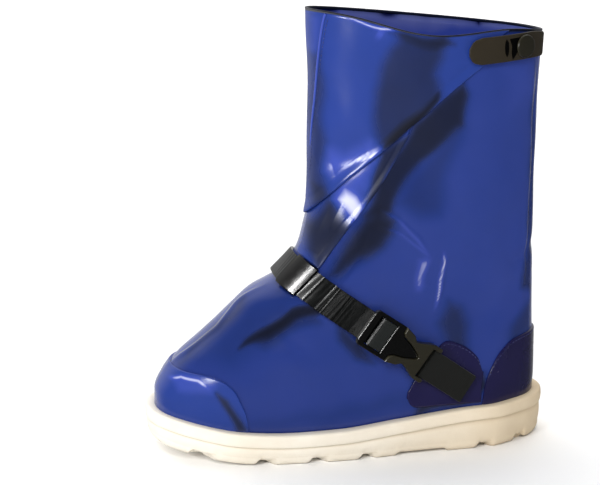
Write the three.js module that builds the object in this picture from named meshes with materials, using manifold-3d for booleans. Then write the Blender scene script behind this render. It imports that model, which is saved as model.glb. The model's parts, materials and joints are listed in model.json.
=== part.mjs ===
import * as THREE from 'three';
import { mergeVertices } from 'three/addons/utils/BufferGeometryUtils.js';
import Module from 'manifold-3d';

// Protective overshoe for the left foot, standing on its sole.
// The toe points to -X, the outer side of the foot to -Y, and the floor is Z = 0.

// Sole
const soleLength = 336;
const ballWidth = 120;
const heelTop = 37.5;         // height of the sole's flange at the heel, the ball and the toe
const ballTop = 26;
const toeTop = 40;
const toeSpring = 14;         // lift of the underside at the toe
const springFrom = 0.68;      // share of the length where that lift begins
const flangeWidth = 9.3;      // flat margin between the sole's edge and the cloth
const recessDepth = 6;        // seat of the cloth foot in the sole
const bandHeight = 10.5;      // upper band of the side wall, above the parting step
const bandStep = 1.6;
const edgeRound = 6.5;        // rounding of the lower edge
const flangeRound = 1.4;
const treadDepth = 5;
const slitDepth = 3;
const wideChannel = 11;
const thinChannel = 3.6;
const channelFlare = 1.25;    // widening of a channel towards the floor
const channelFloor = 0.7;     // narrowing towards its bottom
const channelPitch = 41;      // spacing of the tread channels along the sole
const channelSway = 17;       // reach of one zigzag along the sole
const zigzagLegs = 5;
const treadOverhang = 1.2;    // how far the cuts run past each side of the sole
const treadToeMargin = 40;    // plain rubber left at the toe
const heelBlockStart = 0.28;  // share of the length from the heel
const archStart = 0.41;
const archDepth = 3;

// Cloth foot and shaft
const clothThickness = 1.5;
const seatGap = 0.4;          // clearance between the cloth foot and its seat
const instepHeight = 142;
const shaftHeight = 356;      // top of the rim at the front
const rimDrop = 18;           // how much lower the rim is at the back
const rimSag = 10;            // dip of the outer rim between its ends
const rimSagPlace = 0.55;     // share of the shaft from its back
const rimSagLength = 80;
const rimSagDepth = 0.714;    // how far below the rim the dip reaches, in sections
const shaftLength = 186;
const shaftWidth = 104;
const shaftSet = 5.5;         // how far the shaft's back stands forward of the heel
const shaftSquareness = 2.35;

// Layers sewn or bonded on the cloth
const layerGap = 0.7;
const capThickness = 1.5;
const foldThickness = 1.2;
const foldRoll = 1.3;         // extra thickness along a folded edge
const foldRollReach = 0.09;   // share of a ply's height that it takes up
const foldRollLip = 0.6;      // share of it right at the edge
const outerFoldRear = 0.8;    // rear ends of the plies, in shares of the shaft length
const innerFoldRear = 0.38;
const foldOverlap = 16;       // how far the inner ply reaches under the outer one
const foldRise = 40;          // length over which the outer ply climbs onto the inner one
const strapClearance = 2.5;   // between the inner ply and the strap
const weltWidth = 3;
const weltThickness = 1.2;
const weltCrown = 0.6;        // width of its top against its foot
const toeCapHeight = 73.5;
const toeCapBack = 78.6;      // distance from the toe to the cap's rear edge at the sole
const counterHeight = 91.5;
const counterFront = 64;      // distance from the heel to the counter's front edge
const patchHeight = 92.8;
const patchFront = 127.4;     // distance from the heel to the patch's front edge
const patchLength = 62.8;
const patchFoot = 39;         // height of the patch's lower edge

// Strap and buckle
const strapWidth = 25;
const strapThickness = 2;
const ribHeight = 0.7;
const ribPitch = 4;
const strapSlope = 35;        // degrees down towards the heel
const strapFromHeel = 110.5;  // where the strap's centre line leaves the socket
const strapRearZ = 75;
const strapLift = 0.6;        // clearance of the strap over the cloth
const ribbedLength = 150;     // ribbed part of the strap, from the buckle
const buckleLength = 66;
const buckleWidth = 32.5;
const buckleLift = 3.2;       // height of the buckle over the cloth at its middle
const tongueShoulder = 29;    // full-width part of the tongue, from its outer end
const tongueLength = 51.5;
const tonguePlate = 5.2;
const windowStart = 6;        // opening in the tongue that the strap comes up through
const windowLength = 16.5;
const bridgeWidth = 5;        // low bar that the strap's end lies on
const bridgeHeight = 1.6;
const socketPlate = 7.4;
const socketNeck = 10.5;      // half width of the socket at its waist
const slotStart = 58.5;
const slotLength = 4.4;
const slipGap = 0.4;          // clearance between plastic, webbing and their neighbours
const keeperPlace = 53;       // distance of the keeper from the buckle, up the strap
const keeperLength = 22;
const keeperWall = 1.4;
const tailLength = 40;        // stitched webbing behind the socket
const tailThickness = 3.4;

// Top tab
const tabLength = 64;
const tabWidth = 20.5;
const tabFromBack = 8.5;      // distance from the shaft's back to the tab's end
const tabBelowTop = 30.6;     // from the rim's front to the middle of the tab's front end
const tabTilt = 4.5;          // degrees up towards the back
const tabThickness = 1.8;
const tabCorner = 3;          // rounding of its rear corners; its front end is a half circle
const tabEndCut = 0.3;        // shaved off each end, where it would run out to a point
const snapRadius = 9;
const snapHeight = 3.2;
const snapFromBack = 27;

const around = 56;            // columns of points round the cloth and the sole

const blue = 0x2b3590;
const darkBlue = 0x262b78;
const cream = 0xe9e2d3;
const black = 0x15171a;
const olive = 0x48443a;

const heelX = soleLength / 2;
const toeX = -soleLength / 2;
const heelBack = heelX - flangeWidth;
const toeFront = toeX + flangeWidth;
const shaftBack = heelBack - shaftSet;
const shaftFront = shaftBack - shaftLength;
const strapRearX = heelX - strapFromHeel;
const tabHeight = shaftHeight - tabBelowTop;

// Outline of the sole from the heel to the toe. along is a share of the length,
// outer and inner are half widths as shares of the ball width.
const plan = [
  { along: 0, outer: 0, inner: 0 },
  { along: 0.012, outer: 0.133, inner: 0.133 },
  { along: 0.04, outer: 0.242, inner: 0.25 },
  { along: 0.09, outer: 0.335, inner: 0.325 },
  { along: 0.16, outer: 0.418, inner: 0.367 },
  { along: 0.26, outer: 0.444, inner: 0.367 },
  { along: 0.4, outer: 0.475, inner: 0.362 },
  { along: 0.55, outer: 0.508, inner: 0.425 },
  { along: 0.68, outer: 0.498, inner: 0.502 },
  { along: 0.78, outer: 0.472, inner: 0.51 },
  { along: 0.87, outer: 0.395, inner: 0.468 },
  { along: 0.94, outer: 0.285, inner: 0.362 },
  { along: 0.98, outer: 0.185, inner: 0.22 },
  { along: 1, outer: 0, inner: 0 },
];

// Height of the flange along the sole: ball is the share of the way down to
// ballTop, toe the share of the way up to toeTop.
const topLine = [
  { along: 0, ball: 0, toe: 0 },
  { along: 0.2, ball: 0.08, toe: 0 },
  { along: 0.4, ball: 0.55, toe: 0 },
  { along: 0.55, ball: 0.92, toe: 0 },
  { along: 0.66, ball: 1, toe: 0 },
  { along: 0.78, ball: 1, toe: 0.14 },
  { along: 0.9, ball: 1, toe: 0.55 },
  { along: 1, ball: 1, toe: 1 },
];

// Sections of the cloth from its seat to the rim.
// sink: share of the recess. foot, shaft: shares of the two heights.
// pull: way of the front from the toe to the shaft. set: way of the back from
// the heel to the shaft. follow: how much of the flange's line is kept.
// lean: share of the rim's drop. calf: change from foot plan to shaft plan.
// breadth: width against the plan's own.
const sections = [
  { sink: 1, foot: 0, shaft: 0, pull: 0, set: 0, follow: 1, lean: 0, calf: 0, breadth: 1 },
  { sink: 0, foot: 0, shaft: 0, pull: 0, set: 0, follow: 1, lean: 0, calf: 0, breadth: 1 },
  { sink: 0, foot: 0.12, shaft: 0, pull: 0, set: 0, follow: 0.8, lean: 0, calf: 0, breadth: 1.01 },
  { sink: 0, foot: 0.27, shaft: 0, pull: 0.05, set: 0, follow: 0.5, lean: 0, calf: 0.03, breadth: 1 },
  { sink: 0, foot: 0.41, shaft: 0, pull: 0.145, set: 0, follow: 0.25, lean: 0, calf: 0.12, breadth: 0.97 },
  { sink: 0, foot: 0.56, shaft: 0, pull: 0.295, set: 0.15, follow: 0.1, lean: 0, calf: 0.27, breadth: 0.94 },
  { sink: 0, foot: 0.73, shaft: 0, pull: 0.45, set: 0.35, follow: 0, lean: 0, calf: 0.45, breadth: 0.92 },
  { sink: 0, foot: 0.88, shaft: 0, pull: 0.585, set: 0.5, follow: 0, lean: 0, calf: 0.6, breadth: 0.91 },
  { sink: 0, foot: 0.94, shaft: 0, pull: 0.68, set: 0.55, follow: 0, lean: 0, calf: 0.7, breadth: 0.91 },
  { sink: 0, foot: 1, shaft: 0, pull: 0.775, set: 0.6, follow: 0, lean: 0, calf: 0.78, breadth: 0.92 },
  { sink: 0, foot: 1, shaft: 0.04, pull: 0.845, set: 0.65, follow: 0, lean: 0, calf: 0.84, breadth: 0.93 },
  { sink: 0, foot: 1, shaft: 0.1, pull: 0.92, set: 0.72, follow: 0, lean: 0.03, calf: 0.9, breadth: 0.94 },
  { sink: 0, foot: 1, shaft: 0.18, pull: 0.962, set: 0.82, follow: 0, lean: 0.1, calf: 0.96, breadth: 0.96 },
  { sink: 0, foot: 1, shaft: 0.28, pull: 0.992, set: 0.92, follow: 0, lean: 0.2, calf: 1, breadth: 0.98 },
  { sink: 0, foot: 1, shaft: 0.46, pull: 1, set: 1, follow: 0, lean: 0.4, calf: 1, breadth: 1 },
  { sink: 0, foot: 1, shaft: 0.72, pull: 1, set: 0.95, follow: 0, lean: 0.7, calf: 1, breadth: 1 },
  { sink: 0, foot: 1, shaft: 1, pull: 0.985, set: 0.6, follow: 0, lean: 1, calf: 1, breadth: 1 },
];
const lastLevel = sections.length - 1;
const loftLevels = [0, 1, 2, 3, 4, 5, 6, 7, 8, 9, 10, 11, 12, 13, 13.5, 14, 14.35, 14.7, 15, 15.35, 15.7, 16];

// Dents and swells of the outer side. along is measured from the heel as a
// share of the sole, up as a share of the shaft height, long and wide in the
// same shares, turn in degrees up from the heel towards the toe, depth in
// shares of the shaft width, inwards.
const dents = [
  { along: 0.36, up: 0.66, long: 0.2, wide: 0.055, turn: 118, depth: 0.05 },
  { along: 0.31, up: 0.57, long: 0.1, wide: 0.09, turn: 100, depth: -0.025 },
  { along: 0.7, up: 0.3, long: 0.1, wide: 0.028, turn: 145, depth: 0.05 },
  { along: 0.62, up: 0.24, long: 0.12, wide: 0.05, turn: 150, depth: -0.03 },
  { along: 0.17, up: 0.33, long: 0.05, wide: 0.09, turn: 95, depth: 0.03 },
  { along: 0.2, up: 0.78, long: 0.15, wide: 0.06, turn: 92, depth: -0.02 },
  { along: 0.12, up: 0.5, long: 0.16, wide: 0.045, turn: 90, depth: 0.03 },
];

// Edges of the sewn layers on the outer side, in shares of the shaft length
// from its front and of the shaft height.
const outerFoldEdge = [
  { along: -0.03, up: 0.53 },
  { along: 0.056, up: 0.594 },
  { along: 0.138, up: 0.643 },
  { along: 0.32, up: 0.727 },
  { along: 0.5, up: 0.809 },
  { along: 0.713, up: 0.897 },
  { along: 0.82, up: 0.94 },
];
const innerFoldEdge = [
  { along: -0.03, up: 0.405 },
  { along: 0.016, up: 0.432 },
  { along: 0.082, up: 0.485 },
  { along: 0.164, up: 0.551 },
  { along: 0.274, up: 0.64 },
  { along: 0.401, up: 0.759 },
  { along: 0.473, up: 0.823 },
];

// Rear edge of the toe cap: back is a share of toeCapBack, up of toeCapHeight.
const toeCapEdge = [
  { back: 0, up: 1 },
  { back: 0.27, up: 1 },
  { back: 0.4, up: 0.985 },
  { back: 0.63, up: 0.965 },
  { back: 0.77, up: 0.915 },
  { back: 0.868, up: 0.826 },
  { back: 0.934, up: 0.685 },
  { back: 0.981, up: 0.539 },
  { back: 1, up: 0.386 },
];

// Front edge of the heel counter: front is a share of counterFront.
const counterEdge = [
  { front: 0, up: 1 },
  { front: 0.29, up: 0.99 },
  { front: 0.53, up: 0.966 },
  { front: 0.76, up: 0.868 },
  { front: 0.886, up: 0.733 },
  { front: 0.964, up: 0.58 },
  { front: 1, up: 0.4 },
];

// Upper edge of the strap patch from its front to its rear end.
const patchEdge = [
  { along: 0, up: 0.49 },
  { along: 0.09, up: 0.67 },
  { along: 0.29, up: 0.86 },
  { along: 0.515, up: 1 },
  { along: 0.72, up: 0.953 },
  { along: 0.93, up: 0.835 },
  { along: 1, up: 0.7 },
];

const lerp = THREE.MathUtils.lerp;
const clamp = THREE.MathUtils.clamp;
const degrees = THREE.MathUtils.degToRad;

// Smooth curve through two columns of a table, with no overshoot
function curveThrough(places, values) {
  const last = places.length - 1;
  const slopes = [];
  for (let i = 0; i < last; i += 1) {
    slopes.push((values[i + 1] - values[i]) / (places[i + 1] - places[i]));
  }
  const bends = places.map((place, i) => {
    if (i === 0) {
      return slopes[0];
    }
    if (i === last) {
      return slopes[last - 1];
    }
    const before = slopes[i - 1];
    const after = slopes[i];
    return before * after <= 0 ? 0 : 2 * before * after / (before + after);
  });
  return (place) => {
    const at = clamp(place, places[0], places[last]);
    let i = 0;
    while (i < last - 1 && at > places[i + 1]) {
      i += 1;
    }
    const width = places[i + 1] - places[i];
    const t = (at - places[i]) / width;
    const rest = 1 - t;
    return values[i] * (1 + 2 * t) * rest * rest
      + bends[i] * width * t * rest * rest
      + values[i + 1] * t * t * (3 - 2 * t)
      - bends[i + 1] * width * t * t * rest;
  };
}

function tableCurve(rows, place, value) {
  return curveThrough(rows.map((row) => row[place]), rows.map((row) => row[value]));
}

// The plan is smooth over the angle whose cosine gives the share along it
const planAngles = plan.map((row) => Math.acos(1 - 2 * row.along));
const outerPlan = curveThrough(planAngles, plan.map((row) => row.outer));
const innerPlan = curveThrough(planAngles, plan.map((row) => row.inner));
const ballShare = tableCurve(topLine, 'along', 'ball');
const toeShare = tableCurve(topLine, 'along', 'toe');

const sectionCurve = {};
for (const column of Object.keys(sections[0])) {
  sectionCurve[column] = curveThrough(sections.map((row, i) => i), sections.map((row) => row[column]));
}

function soleTop(x) {
  const along = (heelX - x) / soleLength;
  return lerp(heelTop, ballTop, ballShare(along)) + (toeTop - ballTop) * toeShare(along);
}

function soleBottom(x) {
  const along = (heelX - x) / soleLength;
  const lift = clamp((along - springFrom) / (1 - springFrom), 0, 1);
  return toeSpring * lift * lift;
}

// Half width of the sole's outline drawn in by an inset, on the outer or inner side
function planHalf(share, inset, isOuter) {
  const angle = Math.acos(clamp(1 - 2 * share, -1, 1));
  const table = isOuter ? outerPlan : innerPlan;
  return ballWidth * table(angle) - inset * Math.sin(angle);
}

function shaftHalf(share) {
  const reach = Math.abs(2 * share - 1);
  return shaftWidth / 2 * (1 - reach ** shaftSquareness) ** (1 / shaftSquareness);
}

function dentDepth(x, z) {
  const along = (heelX - x) / soleLength;
  let depth = 0;
  for (const dent of dents) {
    const dx = (along - dent.along) * soleLength;
    const dz = z - dent.up * shaftHeight;
    const turn = degrees(180 - dent.turn);
    const run = dx * Math.cos(turn) + dz * Math.sin(turn);
    const across = dz * Math.cos(turn) - dx * Math.sin(turn);
    const fall = (run / (dent.long * soleLength)) ** 2 + (across / (dent.wide * soleLength)) ** 2;
    depth += dent.depth * shaftWidth * Math.exp(-fall);
  }
  return depth;
}

function sectionEnds(level) {
  return {
    back: lerp(heelBack, shaftBack, sectionCurve.set(level)),
    front: lerp(toeFront, shaftFront, sectionCurve.pull(level)),
  };
}

function skinHeight(level, x, share, isOuter) {
  const foot = (instepHeight - heelTop) * sectionCurve.foot(level);
  const shaft = (shaftHeight - instepHeight) * sectionCurve.shaft(level);
  const sink = (recessDepth - seatGap) * sectionCurve.sink(level);
  const follow = sectionCurve.follow(level) * (soleTop(x) - heelTop);
  const drop = rimDrop * sectionCurve.lean(level) * (1 - share);
  let height = heelTop + foot + shaft + follow - sink - drop;
  if (isOuter) {
    const near = clamp(Math.abs(share - rimSagPlace) * shaftLength / rimSagLength, 0, 1);
    const fade = clamp(1 + (level - lastLevel) / rimSagDepth, 0, 1);
    height -= rimSag * fade * (0.5 + 0.5 * Math.cos(Math.PI * near)) * Math.sin(Math.PI * share) ** 0.5;
  }
  return height;
}

function skinHalf(level, share, isOuter) {
  const foot = planHalf(share, flangeWidth, isOuter);
  return sectionCurve.breadth(level) * lerp(foot, shaftHalf(share), sectionCurve.calf(level));
}

// Point of the cloth's outer face: turn runs 0 at the heel, over the outer
// side, to pi at the toe and back along the inner side.
function skin(level, turn) {
  const calf = sectionCurve.calf(level);
  const power = 2 / lerp(2, shaftSquareness, calf);
  const cosine = Math.cos(turn);
  const share = (1 - Math.sign(cosine) * Math.abs(cosine) ** power) / 2;
  const isOuter = Math.sin(turn) >= 0;
  const ends = sectionEnds(level);
  const x = lerp(ends.back, ends.front, share);
  const z = skinHeight(level, x, share, isOuter);
  const half = skinHalf(level, share, isOuter);
  const dent = isOuter && level > 1 ? dentDepth(x, z) * Math.sin(turn) * clamp(level - 1, 0, 1) : 0;
  const y = isOuter ? -(half - dent) : half;
  return new THREE.Vector3(x, y, z);
}

function skinNormal(level, turn) {
  const step = 0.03;
  const below = skin(Math.max(level - step, 0), turn);
  const above = skin(Math.min(level + step, lastLevel), turn);
  const before = skin(level, turn - step);
  const after = skin(level, turn + step);
  return above.sub(below).cross(after.sub(before)).normalize();
}

function onSkin(level, turn, lift) {
  return skin(level, turn).addScaledVector(skinNormal(level, turn), lift);
}

// Value between low and high where a rising function reaches zero
function solve(low, high, rising) {
  let under = low;
  let over = high;
  for (let i = 0; i < 40; i += 1) {
    const middle = (under + over) / 2;
    if (rising(middle) > 0) {
      over = middle;
    } else {
      under = middle;
    }
  }
  return (under + over) / 2;
}

function levelAtHeight(turn, heightAt) {
  return solve(1, lastLevel, (level) => {
    const point = skin(level, turn);
    return point.z - heightAt(point.x);
  });
}

// Turn on the outer side where the skin reaches x at a height
function turnAt(x, z) {
  return solve(0.01, Math.PI - 0.01, (turn) => x - skin(levelAtHeight(turn, () => z), turn).x);
}

// Closed body from points and triangles, turned inside out if needed
function bodyFrom(points, triangles) {
  let volume = 0;
  for (let i = 0; i < triangles.length; i += 3) {
    const [a, b, c] = [points[triangles[i]], points[triangles[i + 1]], points[triangles[i + 2]]];
    volume += a.dot(b.clone().cross(c));
  }
  if (volume < 0) {
    triangles.reverse();
  }
  const geometry = new THREE.BufferGeometry().setFromPoints(points);
  geometry.setIndex(triangles);
  return geometry;
}

function addQuad(triangles, a, b, c, d) {
  triangles.push(a, b, c, a, c, d);
}

// Body through closed rings, its two ends closed across from side to side
function ringBody(rings) {
  const count = rings[0].length;
  const points = rings.flat();
  const triangles = [];
  for (let r = 0; r < rings.length - 1; r += 1) {
    for (let k = 0; k < count; k += 1) {
      const next = (k + 1) % count;
      addQuad(triangles, r * count + k, r * count + next, (r + 1) * count + next, (r + 1) * count + k);
    }
  }
  closeRing(triangles, 0, count, true);
  closeRing(triangles, (rings.length - 1) * count, count, false);
  return bodyFrom(points, triangles);
}

function closeRing(triangles, start, count, isFlipped) {
  const half = count / 2;
  const cap = [start, start + 1, start + count - 1];
  for (let k = 1; k < half - 1; k += 1) {
    addQuad(cap, start + k, start + k + 1, start + count - k - 1, start + count - k);
  }
  cap.push(start + half - 1, start + half, start + half + 1);
  if (isFlipped) {
    cap.reverse();
  }
  triangles.push(...cap);
}

// Body between two matching grids of points, closed along all four borders
function slabBody(outer, inner) {
  const rows = outer.length;
  const columns = outer[0].length;
  const points = [...outer.flat(), ...inner.flat()];
  const shift = rows * columns;
  const at = (r, c) => r * columns + c;
  const triangles = [];
  for (let r = 0; r < rows - 1; r += 1) {
    for (let c = 0; c < columns - 1; c += 1) {
      addQuad(triangles, at(r, c), at(r, c + 1), at(r + 1, c + 1), at(r + 1, c));
      const back = [at(r + 1, c), at(r + 1, c + 1), at(r, c + 1), at(r, c)];
      addQuad(triangles, ...back.map((place) => shift + place));
    }
  }
  const border = [];
  for (let c = 0; c < columns - 1; c += 1) {
    border.push(at(0, c));
  }
  for (let r = 0; r < rows - 1; r += 1) {
    border.push(at(r, columns - 1));
  }
  for (let c = columns - 1; c > 0; c -= 1) {
    border.push(at(rows - 1, c));
  }
  for (let r = rows - 1; r > 0; r -= 1) {
    border.push(at(r, 0));
  }
  border.forEach((from, i) => {
    const to = border[(i + 1) % border.length];
    addQuad(triangles, to, from, shift + from, shift + to);
  });
  return bodyFrom(points, triangles);
}

// Layer on the skin between a lower and an upper edge, given as heights over x
function skinLayer({ turns, lower, upper, steps, lift, thickness, roll = 0, least = 0.12 }) {
  const outer = [];
  const inner = [];
  for (const turn of turns) {
    const low = levelAtHeight(turn, lower);
    const high = Math.max(levelAtHeight(turn, upper), low + least);
    const outerRow = [];
    const innerRow = [];
    for (const step of steps) {
      const level = lerp(low, high, step);
      const gap = typeof lift === 'number' ? lift : lift(skin(level, turn).x);
      const extra = step === 0 ? roll * foldRollLip : roll * clamp(1 - step / foldRollReach, 0, 1);
      outerRow.push(onSkin(level, turn, gap + thickness + extra));
      innerRow.push(onSkin(level, turn, gap));
    }
    outer.push(outerRow);
    inner.push(innerRow);
  }
  return slabBody(outer, inner);
}

// Turns between two ends, on the same columns as the cloth's own
function columnTurns(from, to) {
  const step = 2 * Math.PI / around;
  const turns = [from];
  for (let k = Math.floor(from / step) + 1; k * step < to - 0.1 * step; k += 1) {
    if (k * step > from + 0.1 * step) {
      turns.push(k * step);
    }
  }
  turns.push(to);
  return turns;
}

function evenly(from, to, count) {
  return Array.from({ length: count + 1 }, (unused, i) => lerp(from, to, i / count));
}

// Ribbon of cloth along a path on the skin, given as places of level and turn
function skinRibbon(path, width, lift, thickness) {
  const outer = [];
  const inner = [];
  path.forEach((place, i) => {
    const before = path[Math.max(i - 1, 0)];
    const after = path[Math.min(i + 1, path.length - 1)];
    const run = skin(after.level, after.turn).sub(skin(before.level, before.turn)).normalize();
    const normal = skinNormal(place.level, place.turn);
    const across = run.cross(normal).normalize().multiplyScalar(width / 2);
    const base = skin(place.level, place.turn).addScaledVector(normal, lift);
    const top = base.clone().addScaledVector(normal, thickness);
    outer.push([-weltCrown, weltCrown].map((side) => top.clone().addScaledVector(across, side)));
    inner.push([-1, 1].map((side) => base.clone().addScaledVector(across, side)));
  });
  return slabBody(outer, inner);
}

// Joining and cutting of closed bodies
const wasm = await Module();
wasm.setup();

function toSolid(geometry) {
  const bare = geometry.clone();
  bare.deleteAttribute('normal');
  bare.deleteAttribute('uv');
  const merged = mergeVertices(bare, 1e-4);
  return new wasm.Manifold(new wasm.Mesh({
    numProp: 3,
    vertProperties: new Float32Array(merged.attributes.position.array),
    triVerts: new Uint32Array(merged.index.array),
  }));
}

function fromSolid(solid) {
  const mesh = solid.getMesh();
  const geometry = new THREE.BufferGeometry();
  geometry.setAttribute('position', new THREE.BufferAttribute(new Float32Array(mesh.vertProperties), 3));
  geometry.setIndex(new THREE.BufferAttribute(new Uint32Array(mesh.triVerts), 1));
  return geometry;
}

// Ring of the sole: inset from its outline, height from the place along it
function soleRing(inset, heightAt) {
  return Array.from({ length: around }, (unused, k) => {
    const turn = 2 * Math.PI * k / around;
    const share = (1 - Math.cos(turn)) / 2;
    const isOuter = Math.sin(turn) >= 0;
    const half = planHalf(share, inset, isOuter);
    const x = lerp(heelX - inset, toeX + inset, share);
    return new THREE.Vector3(x, isOuter ? -half : half, heightAt(x));
  });
}

function soleBlank() {
  const seatInset = flangeWidth - seatGap;
  return ringBody([
    soleRing(seatInset, (x) => soleTop(x) - recessDepth),
    soleRing(seatInset, soleTop),
    soleRing(flangeRound, soleTop),
    soleRing(0, (x) => soleTop(x) - flangeRound),
    soleRing(0, (x) => soleTop(x) - bandHeight),
    soleRing(bandStep, (x) => soleTop(x) - bandHeight - bandStep),
    soleRing(bandStep, (x) => soleBottom(x) + edgeRound),
    soleRing(bandStep + 0.3 * edgeRound, (x) => soleBottom(x) + 0.3 * edgeRound),
    soleRing(bandStep + 0.8 * edgeRound, soleBottom),
  ]);
}

// Groove with sloping walls between two points of the underside
function groove(fromX, fromY, toX, toY, width, depth) {
  const run = new THREE.Vector2(toX - fromX, toY - fromY).normalize();
  const side = new THREE.Vector2(-run.y, run.x);
  const points = [];
  for (const [scale, above] of [[channelFlare, -treadDepth], [channelFloor, depth]]) {
    for (const [end, flank] of [[0, -1], [0, 1], [1, 1], [1, -1]]) {
      const x = lerp(fromX, toX, end) + run.x * (end - 0.5) * 2 + side.x * flank * width * scale / 2;
      const y = lerp(fromY, toY, end) + run.y * (end - 0.5) * 2 + side.y * flank * width * scale / 2;
      points.push(new THREE.Vector3(x, y, soleBottom(lerp(fromX, toX, end)) + above));
    }
  }
  const triangles = [];
  addQuad(triangles, 0, 1, 2, 3);
  addQuad(triangles, 7, 6, 5, 4);
  for (let k = 0; k < 4; k += 1) {
    const next = (k + 1) % 4;
    addQuad(triangles, k, k + 4, next + 4, next);
  }
  return toSolid(bodyFrom(points, triangles));
}

// One zigzag across the sole: wide channels one way, thin slits the other
function zigzag(x) {
  const cuts = [];
  const side = ballWidth / 2 + treadOverhang;
  const legWidth = 2 * side / zigzagLegs;
  for (let leg = 0; leg < zigzagLegs; leg += 1) {
    const fromY = leg * legWidth - side;
    const isWide = leg % 2 === 0;
    const fromX = isWide ? x : x - channelSway;
    const toX = isWide ? x - channelSway : x;
    const width = isWide ? wideChannel : thinChannel;
    const depth = isWide ? treadDepth : slitDepth;
    cuts.push(groove(fromX, fromY, toX, fromY + legWidth, width, depth));
  }
  return cuts;
}

function outsole() {
  const cuts = [];
  const heelBlock = heelX - heelBlockStart * soleLength;
  const arch = heelX - archStart * soleLength;
  for (let x = arch - channelPitch / 2; x > toeX + treadToeMargin; x -= channelPitch) {
    cuts.push(...zigzag(x));
  }
  cuts.push(...zigzag(heelBlock + channelPitch));
  const archCut = new THREE.BoxGeometry(heelBlock - arch, 2 * ballWidth, 2 * archDepth);
  archCut.translate((heelBlock + arch) / 2, 0, 0);
  cuts.push(toSolid(archCut));
  let body = toSolid(soleBlank());
  for (const cut of cuts) {
    body = body.subtract(cut);
  }
  return fromSolid(body);
}

// Cloth foot and shaft, hollow and open at the rim
function upper() {
  const turns = Array.from({ length: around }, (unused, k) => 2 * Math.PI * k / around);
  const outer = loftLevels.map((level) => turns.map((turn) => skin(level, turn)));
  const inner = loftLevels.map((level) => turns.map((turn) => {
    const point = onSkin(level, turn, -clothThickness);
    point.z = level === 0 ? point.z + clothThickness : Math.min(point.z, skin(level, turn).z);
    return point;
  }));
  return ringBody([...outer, ...inner.reverse()]);
}

const seatTop = (x) => soleTop(x) + layerGap;

function toeCap() {
  const edge = curveThrough(
    toeCapEdge.map((row) => toeX + row.back * toeCapBack),
    toeCapEdge.map((row) => row.up * toeCapHeight),
  );
  const end = turnAt(toeX + toeCapBack, soleTop(toeX + toeCapBack) + 1);
  return skinLayer({
    turns: columnTurns(end, 2 * Math.PI - end),
    lower: seatTop,
    upper: edge,
    steps: evenly(0, 1, 5),
    lift: layerGap,
    thickness: capThickness,
  });
}

function heelCounter() {
  const edge = curveThrough(
    counterEdge.map((row) => heelX - row.front * counterFront).reverse(),
    counterEdge.map((row) => row.up * counterHeight).reverse(),
  );
  const end = turnAt(heelX - counterFront, soleTop(heelX - counterFront) + 1);
  return skinLayer({
    turns: columnTurns(-end, end),
    lower: seatTop,
    upper: edge,
    steps: evenly(0, 1, 5),
    lift: layerGap,
    thickness: capThickness,
  });
}

function strapPatch() {
  const front = heelX - patchFront;
  const edge = curveThrough(
    patchEdge.map((row) => front + row.along * patchLength),
    patchEdge.map((row) => row.up * patchHeight),
  );
  const middle = patchHeight * 0.6;
  return skinLayer({
    turns: columnTurns(turnAt(front + patchLength, middle), turnAt(front, middle)),
    lower: (x) => Math.max(seatTop(x), patchFoot),
    upper: edge,
    steps: evenly(0, 1, 4),
    lift: layerGap,
    thickness: capThickness,
  });
}

function foldEdge(rows) {
  return curveThrough(
    rows.map((row) => shaftFront + row.along * shaftLength),
    rows.map((row) => row.up * shaftHeight),
  );
}

const outerEdge = foldEdge(outerFoldEdge);
const innerEdge = foldEdge(innerFoldEdge);
const foldSteps = [0, 0.03, 0.09, 0.25, 0.45, 0.65, 0.83, 1];
const foldFront = 0.965 * Math.PI;
const foldStack = foldThickness + foldRoll + 2 * layerGap;
const tabLift = layerGap + foldThickness + foldRoll + slipGap;
const innerFoldEase = 0.675;  // share of that climb already made at the inner ply's end
const innerFoldEnd = shaftFront + innerFoldRear * shaftLength;

// Height just above the strap, which the inner ply stops short of
function strapTopLine(x) {
  const slopeAngle = degrees(strapSlope);
  const above = (strapWidth / 2 + strapClearance) / Math.cos(slopeAngle);
  return strapRearZ + (strapRearX - x) * Math.tan(slopeAngle) + above;
}

// Outer ply of the folded gusset, from the front seam to the diagonal edge
function gussetOuterFold() {
  const rear = shaftFront + outerFoldRear * shaftLength;
  const rearTurn = turnAt(rear, outerEdge(rear));
  const reach = (x) => {
    const ease = clamp((innerFoldEnd - x) / foldRise + innerFoldEase, 0, 1);
    return layerGap + ease * ease * (3 - 2 * ease) * foldStack;
  };
  return skinLayer({
    turns: columnTurns(rearTurn, foldFront),
    lower: outerEdge,
    upper: () => 2 * shaftHeight,
    steps: foldSteps,
    lift: reach,
    thickness: foldThickness,
    roll: foldRoll,
  });
}

// Inner ply, whose edge shows below the outer one
function gussetInnerFold() {
  const rearTurn = turnAt(innerFoldEnd, innerEdge(innerFoldEnd));
  return skinLayer({
    turns: columnTurns(rearTurn, foldFront),
    lower: (x) => Math.max(innerEdge(x), strapTopLine(x)),
    upper: (x) => outerEdge(x) + foldOverlap,
    steps: foldSteps,
    lift: layerGap,
    thickness: foldThickness,
    roll: foldRoll,
  });
}

// Narrow welt down the outer ply, bending towards the front as it goes down
const weltTop = { level: lastLevel, turn: 0.825 * Math.PI };
const weltFoot = { level: 13.6, turn: 0.945 * Math.PI };
const weltBend = 0.7;

function frontSeamWelt() {
  const lift = layerGap + foldStack + foldThickness + layerGap;
  const path = evenly(0, 1, 12).map((step) => ({
    level: lerp(weltTop.level, weltFoot.level, step),
    turn: lerp(weltTop.turn, weltFoot.turn, step ** weltBend),
  }));
  return skinRibbon(path, weltWidth, lift, weltThickness);
}

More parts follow.
